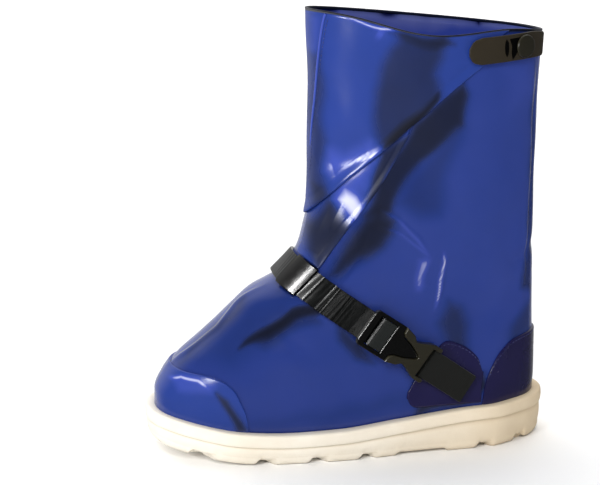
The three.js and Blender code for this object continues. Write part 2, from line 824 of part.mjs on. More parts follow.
// The strap lies in a sloping plane that crosses the foot from side to side
const slope = degrees(strapSlope);
const strapRun = new THREE.Vector3(Math.cos(slope), 0, -Math.sin(slope));
const strapRise = new THREE.Vector3(Math.sin(slope), 0, Math.cos(slope));
const strapRear = new THREE.Vector3(strapRearX, 0, strapRearZ);
const strapHub = -10;         // centre of the strap's angles, along its run from there
const strapReach = [8, 170];  // least and greatest distance from that centre to the skin
const strapAngles = { from: 145, to: -118, step: 1.5 };

function isInsideSkin(point) {
  const isOuter = point.y < 0;
  const shareAt = (level) => {
    const ends = sectionEnds(level);
    return (ends.back - point.x) / (ends.back - ends.front);
  };
  const heightAt = (at) => skinHeight(at, point.x, clamp(shareAt(at), 0, 1), isOuter);
  const level = solve(0, lastLevel, (at) => heightAt(at) - point.z);
  const share = shareAt(level);
  if (share <= 0 || share >= 1) {
    return false;
  }
  const dent = isOuter ? dentDepth(point.x, point.z) * Math.sin(Math.acos(1 - 2 * share)) : 0;
  return Math.abs(point.y) < skinHalf(level, share, isOuter) - dent;
}

// Point of the skin in the strap's plane: angle 0 at the instep, positive on
// the outer side; offset is across the strap.
function strapSkin(angle, offset) {
  const start = strapRear.clone().addScaledVector(strapRise, offset).addScaledVector(strapRun, strapHub);
  const ray = strapRun.clone().multiplyScalar(-Math.cos(angle));
  ray.y = -Math.sin(angle);
  const reach = solve(...strapReach, (length) => (
    isInsideSkin(start.clone().addScaledVector(ray, length)) ? -1 : 1
  ));
  return start.addScaledVector(ray, reach);
}

// Places along the strap, by distance from the buckle's upper end
function measureStrap() {
  const places = [];
  let length = 0;
  for (let angle = strapAngles.from; angle >= strapAngles.to; angle -= strapAngles.step) {
    const point = strapSkin(degrees(angle), 0);
    if (places.length > 0) {
      length += point.distanceTo(places[places.length - 1].point);
    }
    places.push({ angle, length, point });
  }
  const rear = places.find((place) => place.point.y < 0 && place.point.x < strapRearX);
  const shift = rear.length + buckleLength;
  return {
    angleAt: curveThrough(places.map((place) => place.length - shift), places.map((place) => place.angle)),
    end: length - shift,
  };
}

const strapRoute = measureStrap();

// Frame on the strap at a distance: centre on the skin, run, across and normal
function strapFrame(distance) {
  const angle = degrees(strapRoute.angleAt(distance));
  const step = degrees(1);
  const half = strapWidth / 2;
  const low = strapSkin(angle, -half);
  const high = strapSkin(angle, half);
  const middle = strapSkin(angle, 0);
  const across = high.clone().sub(low).normalize();
  const run = strapSkin(angle - step, 0).sub(strapSkin(angle + step, 0)).normalize();
  const normal = across.clone().cross(run).normalize();
  const straight = low.clone().add(high).multiplyScalar(0.5);
  const bulge = Math.max(0, middle.clone().sub(straight).dot(normal));
  const centre = straight.addScaledVector(normal, bulge);
  return { centre, across, run, normal };
}

// The buckle is flat: its frame is the strap's frame at its middle
const buckleFrame = strapFrame(-buckleLength / 2);
buckleFrame.centre.addScaledVector(buckleFrame.normal, buckleLift);

// Point of the buckle: distance from its upper end, place across, height
function onBuckle(distance, across, height) {
  return buckleFrame.centre.clone()
    .addScaledVector(buckleFrame.run, buckleLength / 2 - distance)
    .addScaledVector(buckleFrame.across, across)
    .addScaledVector(buckleFrame.normal, height);
}

// Frame of a station: flat within the buckle, on the cloth beyond it
function stationFrame(station) {
  if (station.isFlat) {
    return { ...buckleFrame, centre: onBuckle(-station.distance, 0, 0) };
  }
  return strapFrame(station.distance);
}

// Body swept along stations, with an outline of places across and heights
function sweptBody(stations) {
  const rings = stations.map((station) => {
    const { centre, across, normal } = stationFrame(station);
    return station.outline.map(([side, height]) => (
      centre.clone().addScaledVector(across, side).addScaledVector(normal, height)
    ));
  });
  const count = rings[0].length;
  const triangles = [];
  for (let r = 0; r < rings.length - 1; r += 1) {
    for (let k = 0; k < count; k += 1) {
      const next = (k + 1) % count;
      addQuad(triangles, r * count + k, r * count + next, (r + 1) * count + next, (r + 1) * count + k);
    }
  }
  const contour = stations[0].outline.map(([side, height]) => new THREE.Vector2(side, height));
  const cap = THREE.ShapeUtils.triangulateShape(contour, []);
  const isClockwise = THREE.ShapeUtils.isClockWise(contour);
  const last = (rings.length - 1) * count;
  for (const [a, b, c] of cap) {
    const face = isClockwise ? [a, b, c] : [c, b, a];
    triangles.push(face[0], face[1], face[2]);
    triangles.push(last + face[2], last + face[1], last + face[0]);
  }
  return bodyFrom(rings.flat(), triangles);
}

function flatBand(width, lift, thickness) {
  const half = width / 2;
  return [[-half, lift], [half, lift], [half, lift + thickness], [-half, lift + thickness]];
}

const bridgeStart = windowStart + (windowLength - bridgeWidth) / 2;

function instepStrap() {
  const onBridge = bridgeHeight + slipGap;
  const underBar = -strapThickness - slipGap;
  const stations = [
    { distance: slipGap - windowStart - windowLength, lift: onBridge },
    { distance: -bridgeStart - 0.4, lift: onBridge },
    { distance: -bridgeStart + 1.2, lift: onBridge - 0.6 },
    { distance: -windowStart - 0.8, lift: underBar + 0.6 },
    { distance: -windowStart + 1, lift: underBar },
    { distance: -1, lift: underBar },
  ];
  for (const station of stations) {
    station.isFlat = true;
    station.thickness = strapThickness;
  }
  for (let distance = 5; distance < ribbedLength; distance += ribPitch / 2) {
    const isRib = stations.length % 2 === 1;
    stations.push({ distance, lift: strapLift, thickness: strapThickness + (isRib ? ribHeight : 0) });
  }
  for (const distance of evenly(ribbedLength + ribPitch, strapRoute.end - 1, 16)) {
    stations.push({ distance, lift: strapLift, thickness: strapThickness });
  }
  for (const station of stations) {
    station.outline = flatBand(strapWidth, station.lift, station.thickness);
  }
  return sweptBody(stations);
}

// Sleeve over the strap, open towards the cloth
function strapKeeper() {
  const inner = strapWidth / 2 + slipGap;
  const outer = inner + keeperWall;
  const under = strapLift + strapThickness + ribHeight + slipGap;
  const outline = [
    [-outer, strapLift + keeperWall],
    [-inner, strapLift + keeperWall],
    [-inner, under],
    [inner, under],
    [inner, strapLift + keeperWall],
    [outer, strapLift + keeperWall],
    [outer, under + keeperWall * 0.4],
    [outer - keeperWall * 0.6, under + keeperWall],
    [-outer + keeperWall * 0.6, under + keeperWall],
    [-outer, under + keeperWall * 0.4],
  ];
  const places = evenly(keeperPlace, keeperPlace + keeperLength, 6);
  return sweptBody(places.map((distance) => ({ distance, outline })));
}

// Webbing round the socket's end bar, stitched down behind it
function strapAnchor() {
  const overBar = bridgeHeight + slipGap;
  const thin = strapThickness;
  const onPatch = layerGap + capThickness + slipGap;
  const end = buckleLength + tailLength;
  const flat = [
    { distance: -slotStart - slipGap - 0.9, lift: -0.6, thickness: thin },
    { distance: -slotStart - slotLength + 0.8, lift: overBar, thickness: thin },
    { distance: -buckleLength - 1.6, lift: overBar, thickness: thin },
  ].map((station) => ({ ...station, isFlat: true }));
  const lying = evenly(buckleLength + 8, end, 5).map((distance) => ({
    distance: -distance,
    lift: onPatch,
    thickness: tailThickness,
  }));
  const stations = [...flat, ...lying];
  for (const station of stations) {
    station.outline = flatBand(strapWidth, station.lift, station.thickness);
  }
  return sweptBody(stations);
}

// Outline of half the tongue's point, as distances along and across, widened
// by a clearance for the notch that it sits in
function tonguePoint(clearance) {
  const half = buckleWidth / 2;
  return [
    [tongueShoulder + clearance, half],
    [tongueShoulder + 0.6 + clearance, 0.68 * half + clearance],
    [tongueShoulder + 4, 0.5 * half + clearance],
    [lerp(tongueShoulder, tongueLength, 0.55), 0.36 * half + clearance],
    [tongueLength - 2 + clearance * 0.5, 0.13 * half + clearance],
    [tongueLength + clearance, 0.05 * half],
  ];
}

function shapeOf(points, holes = []) {
  const shape = new THREE.Shape(points.map(([x, y]) => new THREE.Vector2(x, y)));
  for (const hole of holes) {
    shape.holes.push(new THREE.Path(hole.map(([x, y]) => new THREE.Vector2(x, y))));
  }
  return shape;
}

function mirrored(points) {
  return points.map(([along, across]) => [along, -across]).reverse();
}

// Plate of the buckle: a shape over distance and width, raised by its depth
function bucklePlate(shape, depth, base = 0, bevel = 0.5) {
  const plate = new THREE.ExtrudeGeometry(shape, {
    depth: depth - 2 * bevel,
    bevelEnabled: bevel > 0,
    bevelThickness: bevel,
    bevelSize: bevel,
    bevelOffset: -bevel,
    bevelSegments: 1,
    curveSegments: 4,
  });
  plate.translate(0, 0, base + bevel);
  const corners = plate.attributes.position;
  for (let i = 0; i < corners.count; i += 1) {
    const point = onBuckle(corners.getX(i), corners.getY(i), corners.getZ(i));
    corners.setXYZ(i, point.x, point.y, point.z);
  }
  return ensureOutward(plate);
}

function ensureOutward(geometry) {
  const bare = geometry.clone();
  bare.deleteAttribute('normal');
  bare.deleteAttribute('uv');
  const merged = mergeVertices(bare, 1e-4);
  const corners = merged.attributes.position;
  const points = Array.from({ length: corners.count }, (unused, i) => (
    new THREE.Vector3().fromBufferAttribute(corners, i)
  ));
  return bodyFrom(points, Array.from(merged.index.array));
}

function buckleTongue() {
  const half = buckleWidth / 2;
  const inside = strapWidth / 2 + slipGap;
  const end = [[0, 0.72 * half], [0.9, 0.9 * half], [3, half]];
  const outline = [...end, ...tonguePoint(0)];
  const windowEnd = windowStart + windowLength;
  const opening = [[windowStart, -inside], [windowEnd, -inside], [windowEnd, inside], [windowStart, inside]];
  const frame = toSolid(bucklePlate(shapeOf([...outline, ...mirrored(outline)], [opening]), tonguePlate));
  const bridge = shapeOf([
    [bridgeStart, -half + 1], [bridgeStart + bridgeWidth, -half + 1],
    [bridgeStart + bridgeWidth, half - 1], [bridgeStart, half - 1],
  ]);
  return fromSolid(frame.add(toSolid(bucklePlate(bridge, bridgeHeight, 0, 0.2))));
}

function buckleSocket() {
  const half = buckleWidth / 2;
  const inside = strapWidth / 2 + slipGap;
  const waist = lerp(tongueShoulder, slotStart, 0.46);
  const flank = [
    [waist - 4, 0.86 * half],
    [waist, socketNeck],
    [waist + 4, 0.7 * half],
    [slotStart - 4, 0.93 * half],
    [slotStart, half],
    [buckleLength - 1, half],
    [buckleLength, half - 1],
  ];
  const notch = tonguePoint(slipGap);
  const outline = [...notch.reverse(), ...flank];
  const slotEnd = slotStart + slotLength;
  const slot = [[slotStart, -inside], [slotEnd, -inside], [slotEnd, inside], [slotStart, inside]];
  const body = toSolid(bucklePlate(shapeOf([...outline, ...mirrored(outline)], [slot]), socketPlate));
  const from = slotStart + 1;
  const past = buckleLength + 2;
  const relief = shapeOf([[from, -inside], [past, -inside], [past, inside], [from, inside]]);
  const cut = toSolid(bucklePlate(relief, socketPlate, bridgeHeight, 0));
  return fromSolid(body.subtract(cut));
}

function topTab() {
  const end = shaftBack - tabFromBack;
  const start = end - tabLength;
  const half = tabWidth / 2;
  const rise = Math.tan(degrees(tabTilt));
  const middle = (x) => tabHeight + (x - start) * rise;
  const halfNear = (distance, radius) => {
    const rest = 1 - clamp(distance / radius, 0, 1);
    return half - radius + radius * Math.sqrt(1 - rest ** 2);
  };
  const reach = (x) => Math.min(halfNear(x - start, half), halfNear(end - x, tabCorner));
  const turnOf = (x) => turnAt(x, tabHeight);
  const turns = [
    ...evenly(turnOf(end - tabEndCut), turnOf(end - tabCorner / 2), 1),
    ...evenly(turnOf(end - tabCorner), turnOf(start + half), 8),
    ...evenly(turnOf(start + half / 2), turnOf(start + tabEndCut), 2),
  ];
  return skinLayer({
    turns,
    lower: (x) => middle(x) - reach(x),
    upper: (x) => middle(x) + reach(x),
    steps: evenly(0, 1, 2),
    lift: tabLift,
    thickness: tabThickness,
    least: 0.01,
  });
}

function snapCap() {
  const x = shaftBack - snapFromBack;
  const z = tabHeight + (x - shaftBack + tabFromBack + tabLength) * Math.tan(degrees(tabTilt));
  const turn = turnAt(x, z);
  const level = levelAtHeight(turn, () => z);
  const normal = skinNormal(level, turn);
  const profile = [
    [0, 0],
    [snapRadius, 0],
    [snapRadius, 0.35 * snapHeight],
    [0.93 * snapRadius, 0.7 * snapHeight],
    [0.7 * snapRadius, 0.93 * snapHeight],
    [0, snapHeight],
  ].map(([radius, height]) => new THREE.Vector2(radius, height));
  const cap = new THREE.LatheGeometry(profile, 20);
  const seat = tabLift + tabThickness + slipGap;
  cap.applyQuaternion(new THREE.Quaternion().setFromUnitVectors(new THREE.Vector3(0, 1, 0), normal));
  const place = onSkin(level, turn, seat);
  cap.translate(place.x, place.y, place.z);
  return ensureOutward(cap);
}

function material(color, roughness, metalness = 0) {
  return new THREE.MeshStandardMaterial({ color, roughness, metalness });
}

const overshoe = new THREE.Group();

function addPart(name, geometry, finish) {
  geometry.computeVertexNormals();
  const mesh = new THREE.Mesh(geometry, finish);
  mesh.name = name;
  overshoe.add(mesh);
}

addPart('outsole', outsole(), material(cream, 0.75));
addPart('upper', upper(), material(blue, 0.3));
addPart('toe_cap', toeCap(), material(blue, 0.3));
addPart('heel_counter', heelCounter(), material(darkBlue, 0.35));
addPart('strap_patch', strapPatch(), material(darkBlue, 0.35));
addPart('gusset_outer_fold', gussetOuterFold(), material(blue, 0.3));
addPart('gusset_inner_fold', gussetInnerFold(), material(blue, 0.3));
addPart('front_seam_welt', frontSeamWelt(), material(blue, 0.3));
addPart('instep_strap', instepStrap(), material(black, 0.4));
addPart('strap_keeper', strapKeeper(), material(black, 0.2));
addPart('buckle_tongue', buckleTongue(), material(black, 0.35));
addPart('buckle_socket', buckleSocket(), material(olive, 0.4));
addPart('strap_anchor', strapAnchor(), material(black, 0.6));
addPart('top_tab', topTab(), material(olive, 0.5));
addPart('snap_cap', snapCap(), material(olive, 0.35));

// The origin is on the floor, at the middle of the whole thing
const bounds = new THREE.Box3().setFromObject(overshoe);
overshoe.position.x = -(bounds.min.x + bounds.max.x) / 2;
overshoe.position.y = -(bounds.min.y + bounds.max.y) / 2;

export default overshoe;
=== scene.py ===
import json
import math

import bmesh
import bpy
import numpy as np
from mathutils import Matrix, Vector

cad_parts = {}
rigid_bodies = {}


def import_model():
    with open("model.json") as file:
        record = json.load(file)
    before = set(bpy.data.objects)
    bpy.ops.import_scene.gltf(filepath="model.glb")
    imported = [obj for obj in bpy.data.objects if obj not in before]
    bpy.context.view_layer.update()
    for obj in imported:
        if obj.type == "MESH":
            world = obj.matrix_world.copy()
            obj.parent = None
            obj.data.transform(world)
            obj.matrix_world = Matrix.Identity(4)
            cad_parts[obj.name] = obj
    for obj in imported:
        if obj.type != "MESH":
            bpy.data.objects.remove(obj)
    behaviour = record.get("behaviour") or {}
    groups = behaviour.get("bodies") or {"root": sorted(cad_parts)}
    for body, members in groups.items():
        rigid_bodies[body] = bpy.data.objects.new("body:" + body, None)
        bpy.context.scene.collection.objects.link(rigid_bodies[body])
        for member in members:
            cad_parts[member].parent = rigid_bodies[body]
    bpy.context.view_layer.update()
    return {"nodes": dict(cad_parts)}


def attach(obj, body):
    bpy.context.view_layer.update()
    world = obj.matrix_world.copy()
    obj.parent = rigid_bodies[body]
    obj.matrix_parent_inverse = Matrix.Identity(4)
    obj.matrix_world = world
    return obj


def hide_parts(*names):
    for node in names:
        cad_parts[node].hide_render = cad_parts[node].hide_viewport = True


# Left overshoe in glossy blue coated cloth on a cream foam sole. Toe to -X, outer side to -Y.
# Lengths are in millimetres until a mesh is made.
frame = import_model()
mm = 0.001

sole = {
    "length": 336,
    "ballWidth": 120,
    "heelTop": 37.5,
    "ballTop": 26,
    "toeTop": 40,
    "toeSpring": 14,
    "springFrom": 0.18,  # shares of the length, from the middle to the toe
    "springOver": 0.32,
    "flange": 9.3,
    "recess": 6,
    "band": 10.5,        # upper band of the side wall
    "bandBulge": 0.35,
    "lowBulge": 0.9,     # swell of the wall under the band
    "step": 1.6,         # parting step between the two
    "lip": 2.4,          # round of the top edge
    "edgeRound": 6.5,    # round of the bottom edge
    "treadDepth": 5,
    "pitch": 41,         # between tread channels
    "sway": 17,
    "legs": 5,           # channels side by side
    "wide": 11,
    "thin": 3.6,
    "heelBlock": 0.28,   # share of the length from the heel
    "arch": 0.41,
    "archDepth": 3,
    "columns": 420,
    "rings": 60,         # rows of faces under the sole
}

cloth = {
    "thickness": 1.5,
    "instep": 142,
    "height": 356,
    "rimDrop": 18,
    "rimSag": 10,
    "sagPlace": 0.55,
    "sagLength": 80,
    "length": 186,
    "width": 104,
    "set": 5.5,
    "squareness": 2.35,
    "columns": 400,
    "rows": 205,
}

strap = {
    "width": 25,
    "slope": 35,
    "rearX": 57.5,
    "rearZ": 75,
}

heelX = sole["length"] / 2
toeX = -heelX
heelBack = heelX - sole["flange"]
toeFront = toeX + sole["flange"]
shaftBack = heelBack - cloth["set"]
shaftFront = shaftBack - cloth["length"]

# Outline of the sole: share of the length from the heel, half widths as shares of the ball width
plan = [
    (0, 0, 0),
    (0.012, 0.133, 0.133),
    (0.04, 0.242, 0.25),
    (0.09, 0.335, 0.325),
    (0.16, 0.418, 0.367),
    (0.26, 0.444, 0.367),
    (0.4, 0.475, 0.362),
    (0.55, 0.508, 0.425),
    (0.68, 0.498, 0.502),
    (0.78, 0.472, 0.51),
    (0.87, 0.395, 0.468),
    (0.94, 0.285, 0.362),
    (0.98, 0.185, 0.22),
    (1, 0, 0),
]

# Height of the sole's top: share of the length, way down to the ball, way up to the toe
topLine = [
    (0, 0, 0), (0.2, 0.08, 0), (0.4, 0.55, 0), (0.55, 0.92, 0),
    (0.66, 1, 0), (0.78, 1, 0.14), (0.9, 1, 0.55), (1, 1, 1),
]

# Sections of the cloth from its seat in the sole to the rim
sectionNames = ("sink", "foot", "shaft", "pull", "set", "follow", "lean", "calf", "breadth")
sections = [
    (1, 0, 0, 0, 0, 1, 0, 0, 1),
    (0, 0, 0, 0, 0, 1, 0, 0, 1),
    (0, 0.12, 0, 0, 0, 0.8, 0, 0, 1.01),
    (0, 0.27, 0, 0.05, 0, 0.5, 0, 0.03, 1),
    (0, 0.41, 0, 0.145, 0, 0.25, 0, 0.12, 0.97),
    (0, 0.56, 0, 0.295, 0.15, 0.1, 0, 0.27, 0.94),
    (0, 0.73, 0, 0.45, 0.35, 0, 0, 0.45, 0.92),
    (0, 0.88, 0, 0.585, 0.5, 0, 0, 0.6, 0.91),
    (0, 0.94, 0, 0.68, 0.55, 0, 0, 0.7, 0.91),
    (0, 1, 0, 0.775, 0.6, 0, 0, 0.78, 0.92),
    (0, 1, 0.04, 0.845, 0.65, 0, 0, 0.84, 0.93),
    (0, 1, 0.1, 0.92, 0.72, 0, 0.03, 0.9, 0.94),
    (0, 1, 0.18, 0.962, 0.82, 0, 0.1, 0.96, 0.96),
    (0, 1, 0.28, 0.992, 0.92, 0, 0.2, 1, 0.98),
    (0, 1, 0.46, 1, 1, 0, 0.4, 1, 1),
    (0, 1, 0.72, 1, 0.95, 0, 0.7, 1, 1),
    (0, 1, 1, 0.985, 0.6, 0, 1, 1, 1),
]
rimLevel = len(sections) - 1


# Curves, points and distances

def curveThrough(places, values):
    places = np.asarray(places, float)
    values = np.asarray(values, float)
    widths = np.diff(places)
    slopes = np.diff(values) / widths
    product = slopes[:-1] * slopes[1:]
    total = slopes[:-1] + slopes[1:]
    middle = np.where(product > 0, 2 * product / np.where(total == 0, 1, total), 0)
    bends = np.concatenate([slopes[:1], middle, slopes[-1:]])

    def curve(place):
        at = np.clip(place, places[0], places[-1])
        i = np.clip(np.searchsorted(places, at) - 1, 0, len(widths) - 1)
        t = (at - places[i]) / widths[i]
        rest = 1 - t
        start = values[i] * (1 + 2 * t) * rest ** 2 + bends[i] * widths[i] * t * rest ** 2
        return start + values[i + 1] * t ** 2 * (3 - 2 * t) - bends[i + 1] * widths[i] * t ** 2 * rest

    return curve


def column(table, place, value):
    rows = np.asarray(table, float)
    return curveThrough(rows[:, place], rows[:, value])


def shareLine(rows, start, length, height):
    return curveThrough([start + along * length for along, _ in rows], [up * height for _, up in rows])


def mix(a, b, share):
    return a + (b - a) * share


def smooth(low, high, value):
    t = np.clip((value - low) / (high - low), 0, 1)
    return t * t * (3 - 2 * t)


def unit(vectors):
    return vectors / np.maximum(np.linalg.norm(vectors, axis=-1, keepdims=True), 1e-9)


def nearPath(points, path):
    flat = points.reshape(-1, points.shape[-1])
    path = np.asarray(path, float)
    best = np.full(len(flat), 1e9)
    along = np.zeros(len(flat))
    count = len(path) - 1
    for i in range(count):
        start = path[i]
        run = path[i + 1] - start
        t = np.clip(((flat - start) @ run) / (run @ run), 0, 1)
        gap = np.linalg.norm(flat - start - t[:, None] * run, axis=1)
        nearer = gap < best
        best[nearer] = gap[nearer]
        along[nearer] = (i + t[nearer]) / count
    return best.reshape(points.shape[:-1]), along.reshape(points.shape[:-1])


def runLength(path):
    steps = np.linalg.norm(np.diff(path, axis=0), axis=1)
    return np.concatenate([[0], np.cumsum(steps)])


# Body of the cloth: level 0 is the seat, 16 the rim; turn 0 the heel, then the outer side

planAngle = np.arccos(1 - 2 * np.asarray(plan)[:, 0])
outerPlan = curveThrough(planAngle, np.asarray(plan)[:, 1])
innerPlan = curveThrough(planAngle, np.asarray(plan)[:, 2])
ballShare = column(topLine, 0, 1)
toeShare = column(topLine, 0, 2)
section = {}
for index, name in enumerate(sectionNames):
    section[name] = curveThrough(range(len(sections)), [row[index] for row in sections])
footRise = cloth["instep"] - sole["heelTop"]
shaftRise = cloth["height"] - cloth["instep"]
# Foot and shaft climb in one curve, so that the cloth has no step at the ankle
climb = curveThrough(range(len(sections)), [row[1] * footRise + row[2] * shaftRise for row in sections])


def soleTop(x):
    along = (heelX - x) / sole["length"]
    rise = (sole["toeTop"] - sole["ballTop"]) * toeShare(along)
    return mix(sole["heelTop"], sole["ballTop"], ballShare(along)) + rise


def soleBottom(x):
    start = sole["springFrom"] * sole["length"]
    lift = np.clip((-x - start) / (sole["springOver"] * sole["length"]), 0, 1)
    return sole["toeSpring"] * lift ** 2


def planHalf(share, inset, isOuter):
    angle = np.arccos(np.clip(1 - 2 * share, -1, 1))
    half = np.where(isOuter, outerPlan(angle), innerPlan(angle))
    return sole["ballWidth"] * half - inset * np.sin(angle)


# Dents of the outer side: place from the heel and height as shares, size, turn, depth
dents = [
    (0.36, 0.66, 0.2, 0.055, 118, 0.05),
    (0.31, 0.57, 0.1, 0.09, 100, -0.025),
    (0.7, 0.3, 0.1, 0.028, 145, 0.034),
    (0.62, 0.24, 0.12, 0.05, 150, -0.018),
    (0.17, 0.33, 0.05, 0.09, 95, 0.03),
    (0.2, 0.78, 0.15, 0.06, 92, -0.02),
    (0.12, 0.5, 0.16, 0.045, 90, 0.03),
]


def dentDepth(x, z):
    along = (heelX - x) / sole["length"]
    depth = 0
    for place, up, long, wide, turn, deep in dents:
        dx = (along - place) * sole["length"]
        dz = z - up * cloth["height"]
        angle = math.radians(180 - turn)
        run = dx * math.cos(angle) + dz * math.sin(angle)
        across = dz * math.cos(angle) - dx * math.sin(angle)
        fall = (run / (long * sole["length"])) ** 2 + (across / (wide * sole["length"])) ** 2
        depth = depth + deep * cloth["width"] * np.exp(-fall)
    return depth


def skin(level, turn):
    calf = section["calf"](level)
    power = 2 / mix(2, cloth["squareness"], calf)
    cosine = np.cos(turn)
    share = (1 - np.sign(cosine) * np.abs(cosine) ** power) / 2
    isOuter = np.sin(turn) >= 0
    back = mix(heelBack, shaftBack, section["set"](level))
    front = mix(toeFront, shaftFront, section["pull"](level))
    x = mix(back, front, share)
    sink = (sole["recess"] - 0.4) * section["sink"](level)
    follow = section["follow"](level) * (soleTop(x) - sole["heelTop"])
    drop = cloth["rimDrop"] * section["lean"](level) * (1 - share)
    z = sole["heelTop"] + climb(level) + follow - sink - drop
    near = np.clip(np.abs(share - cloth["sagPlace"]) * cloth["length"] / cloth["sagLength"], 0, 1)
    fade = np.clip((level - rimLevel + 1) * 1.4 - 0.4, 0, 1)
    sag = cloth["rimSag"] * fade * (0.5 + 0.5 * np.cos(math.pi * near)) * np.sin(math.pi * share) ** 0.5
    z = z - np.where(isOuter, sag, 0)
    reach = np.abs(2 * share - 1)
    shaftHalf = cloth["width"] / 2 * (1 - reach ** cloth["squareness"]) ** (1 / cloth["squareness"])
    half = section["breadth"](level) * mix(planHalf(share, sole["flange"], isOuter), shaftHalf, calf)
    dent = dentDepth(x, z) * np.sin(turn) * np.clip(level - 1, 0, 1)
    y = np.where(isOuter, -(half - dent), half)
    return np.stack(np.broadcast_arrays(x, y, z), -1)


def skinNormal(level, turn):
    rise = skin(np.minimum(level + 0.5, rimLevel), turn) - skin(np.maximum(level - 0.5, 0), turn)
    run = skin(level, turn + 0.03) - skin(level, turn - 0.03)
    return unit(np.cross(rise, run))


# Fine folds: width, how far it stands out, and its path on the cloth (x, y, z)
folds = {
    "vampRidge": (3.5, 1.5, [
        (-147, -2, 74), (-135, -8, 85), (-123, -9, 96), (-111, -12, 106), (-94, -5, 124),
        (-72, -10, 137),
    ]),
    "vampGroove": (7, -1.1, [(-94, -34, 93), (-78, -38, 105), (-54, -41, 119), (-35, -42, 127)]),
    "vampSwell": (11, 0.3, [(-98, -40, 82), (-70, -45, 90), (-45, -47, 103)]),
    "upperSwell": (9, 0.3, [(-92, -27, 108), (-72, -30, 122), (-50, -33, 134)]),
    "plySwell": (14, 4.2, [(-24, -30, 198), (-7, -40, 189), (7, -44, 181)]),
    "plyDent": (13, -3.4, [(-28, -26, 236), (-8, -39, 246), (12, -46, 258)]),
    "ankleArc": (1.9, 1, [(15.3, -47, 203), (30.9, -50, 194), (45.5, -50, 181), (55, -49, 165)]),
    "ankleArcLow": (1.5, 0.7, [(19, -48, 189), (34, -49, 183), (46, -49.5, 174), (55, -49, 165)]),
    "ankleRib": (4.5, 1, [(52, -49, 166), (49, -48, 150), (50.6, -47, 137)]),
    "heelArc": (2.4, 1.8, [(66, -48, 166), (67, -48, 158), (65.7, -46, 136), (60.5, -45, 118)]),
    "strapCrease": (2.2, -1.6, [(4, -45, 172), (-8.6, -42, 153.7), (-17.2, -41, 144.2)]),
    "pool": (11, -1.6, [(16, -48, 196), (8, -45, 176), (-4, -43, 160)]),
    "shaftHollow": (14, -1.4, [(92, -50, 312), (76, -50, 268), (64, -50, 215), (60, -50, 190)]),
    "backCrease": (3, -1.3, [(144, -25, 315), (146, -24, 220), (146, -25, 115)]),
    "achillesOne": (7, -1.4, [(152, 10, 175), (147, -22, 160), (128, -40, 150)]),
    "achillesTwo": (6, -1.3, [(150, -8, 140), (147, 22, 128), (124, 38, 122)]),
    "insideOne": (6, -2.4, [(-34, 14, 196), (-8, 40, 180), (26, 47, 160), (58, 46, 152)]),
    "insideTwo": (5, -1.8, [(-38, 16, 172), (-14, 38, 158), (14, 44, 140)]),
    "insideThree": (13, -2.6, [(20, 48, 300), (34, 49, 240), (28, 47, 190)]),
    "insideVamp": (6, -2, [(-100, 36, 92), (-76, 40, 102), (-48, 41, 118)]),
    "insideBack": (10, -1.8, [(120, 36, 300), (126, 33, 220), (120, 34, 150)]),
}


def relief(points):
    height = np.zeros(points.shape[:-1])
    for width, out, path in folds.values():
        gap, along = nearPath(points, path)
        taper = np.clip(np.minimum(along, 1 - along) * 5, 0, 1)
        height += out * np.exp(-(gap / width) ** 2) * (0.25 + 0.75 * taper)
    height += ripples(points)
    # Nothing stands out where the strap lies
    slope = math.radians(strap["slope"])
    offset = (points[..., 0] - strap["rearX"]) * math.sin(slope)
    offset = offset + (points[..., 2] - strap["rearZ"]) * math.cos(slope)
    free = smooth(strap["width"] / 2 + 1, strap["width"] / 2 + 9, np.abs(offset))
    free = np.maximum(free, smooth(60, 75, points[..., 0]))
    seat = smooth(0, 14, points[..., 2] - soleTop(points[..., 0]))
    return mix(np.minimum(height, 0.1) * 0.4, height, free) * seat


# Low swells of several directions, so that no large face is quite even
swells = {"seed": 7, "count": 9, "height": 0.11, "shortest": 26, "longest": 80}


def ripples(points):
    waves = np.random.default_rng(swells["seed"])
    height = 0
    for _ in range(swells["count"]):
        direction = unit(waves.normal(size=3) * (1, 1, 0.7))
        length = waves.uniform(swells["shortest"], swells["longest"])
        phase = waves.uniform(0, 6.3)
        height = height + swells["height"] * np.sin(points @ direction * 2 * math.pi / length + phase)
    return height


def onCloth(level, turn, lift=0.0):
    points = skin(level, turn)
    out = (relief(points) + lift)[..., None]
    return points + skinNormal(level, turn) * out


def solve(low, high, rising, shape):
    under = np.full(shape, float(low))
    over = np.full(shape, float(high))
    for _ in range(26):
        middle = (under + over) / 2
        isOver = rising(middle) > 0
        over = np.where(isOver, middle, over)
        under = np.where(isOver, under, middle)
    return (under + over) / 2


def levelAt(turn, heightAt):
    def rising(level):
        points = skin(level, turn)
        return points[..., 2] - heightAt(points[..., 0])

    return solve(1, rimLevel, rising, np.shape(turn))


def turnAt(x, z):
    def rising(turn):
        return x - skin(levelAt(turn, lambda unused: z), turn)[..., 0]

    return float(solve(0.01, math.pi - 0.01, rising, (1,))[0])


# Meshes and objects

def addObject(name, data):
    obj = bpy.data.objects.new(name, data)
    bpy.context.collection.objects.link(obj)
    return obj


def newObject(name, points, faces, material, paintedShading=None):
    mesh = bpy.data.meshes.new(name)
    mesh.from_pydata((np.asarray(points).reshape(-1, 3) * mm).tolist(), [], faces)
    # Painted shade and highlights, kept on the points
    if paintedShading is not None:
        shadingLayer = mesh.attributes.new("paintedShading", "FLOAT", "POINT")
        shadingLayer.data.foreach_set("value", np.asarray(paintedShading, np.float32).ravel())
    mesh.polygons.foreach_set("use_smooth", [True] * len(mesh.polygons))
    mesh.materials.append(material)
    return addObject(name, mesh)


def gridFaces(rows, columns, isClosed=False, start=0):
    last = columns if isClosed else columns - 1
    faces = []
    for r in range(rows - 1):
        for c in range(last):
            n = (c + 1) % columns
            a = start + r * columns
            b = a + columns
            faces.append((a + c, a + n, b + n, b + c))
    return faces


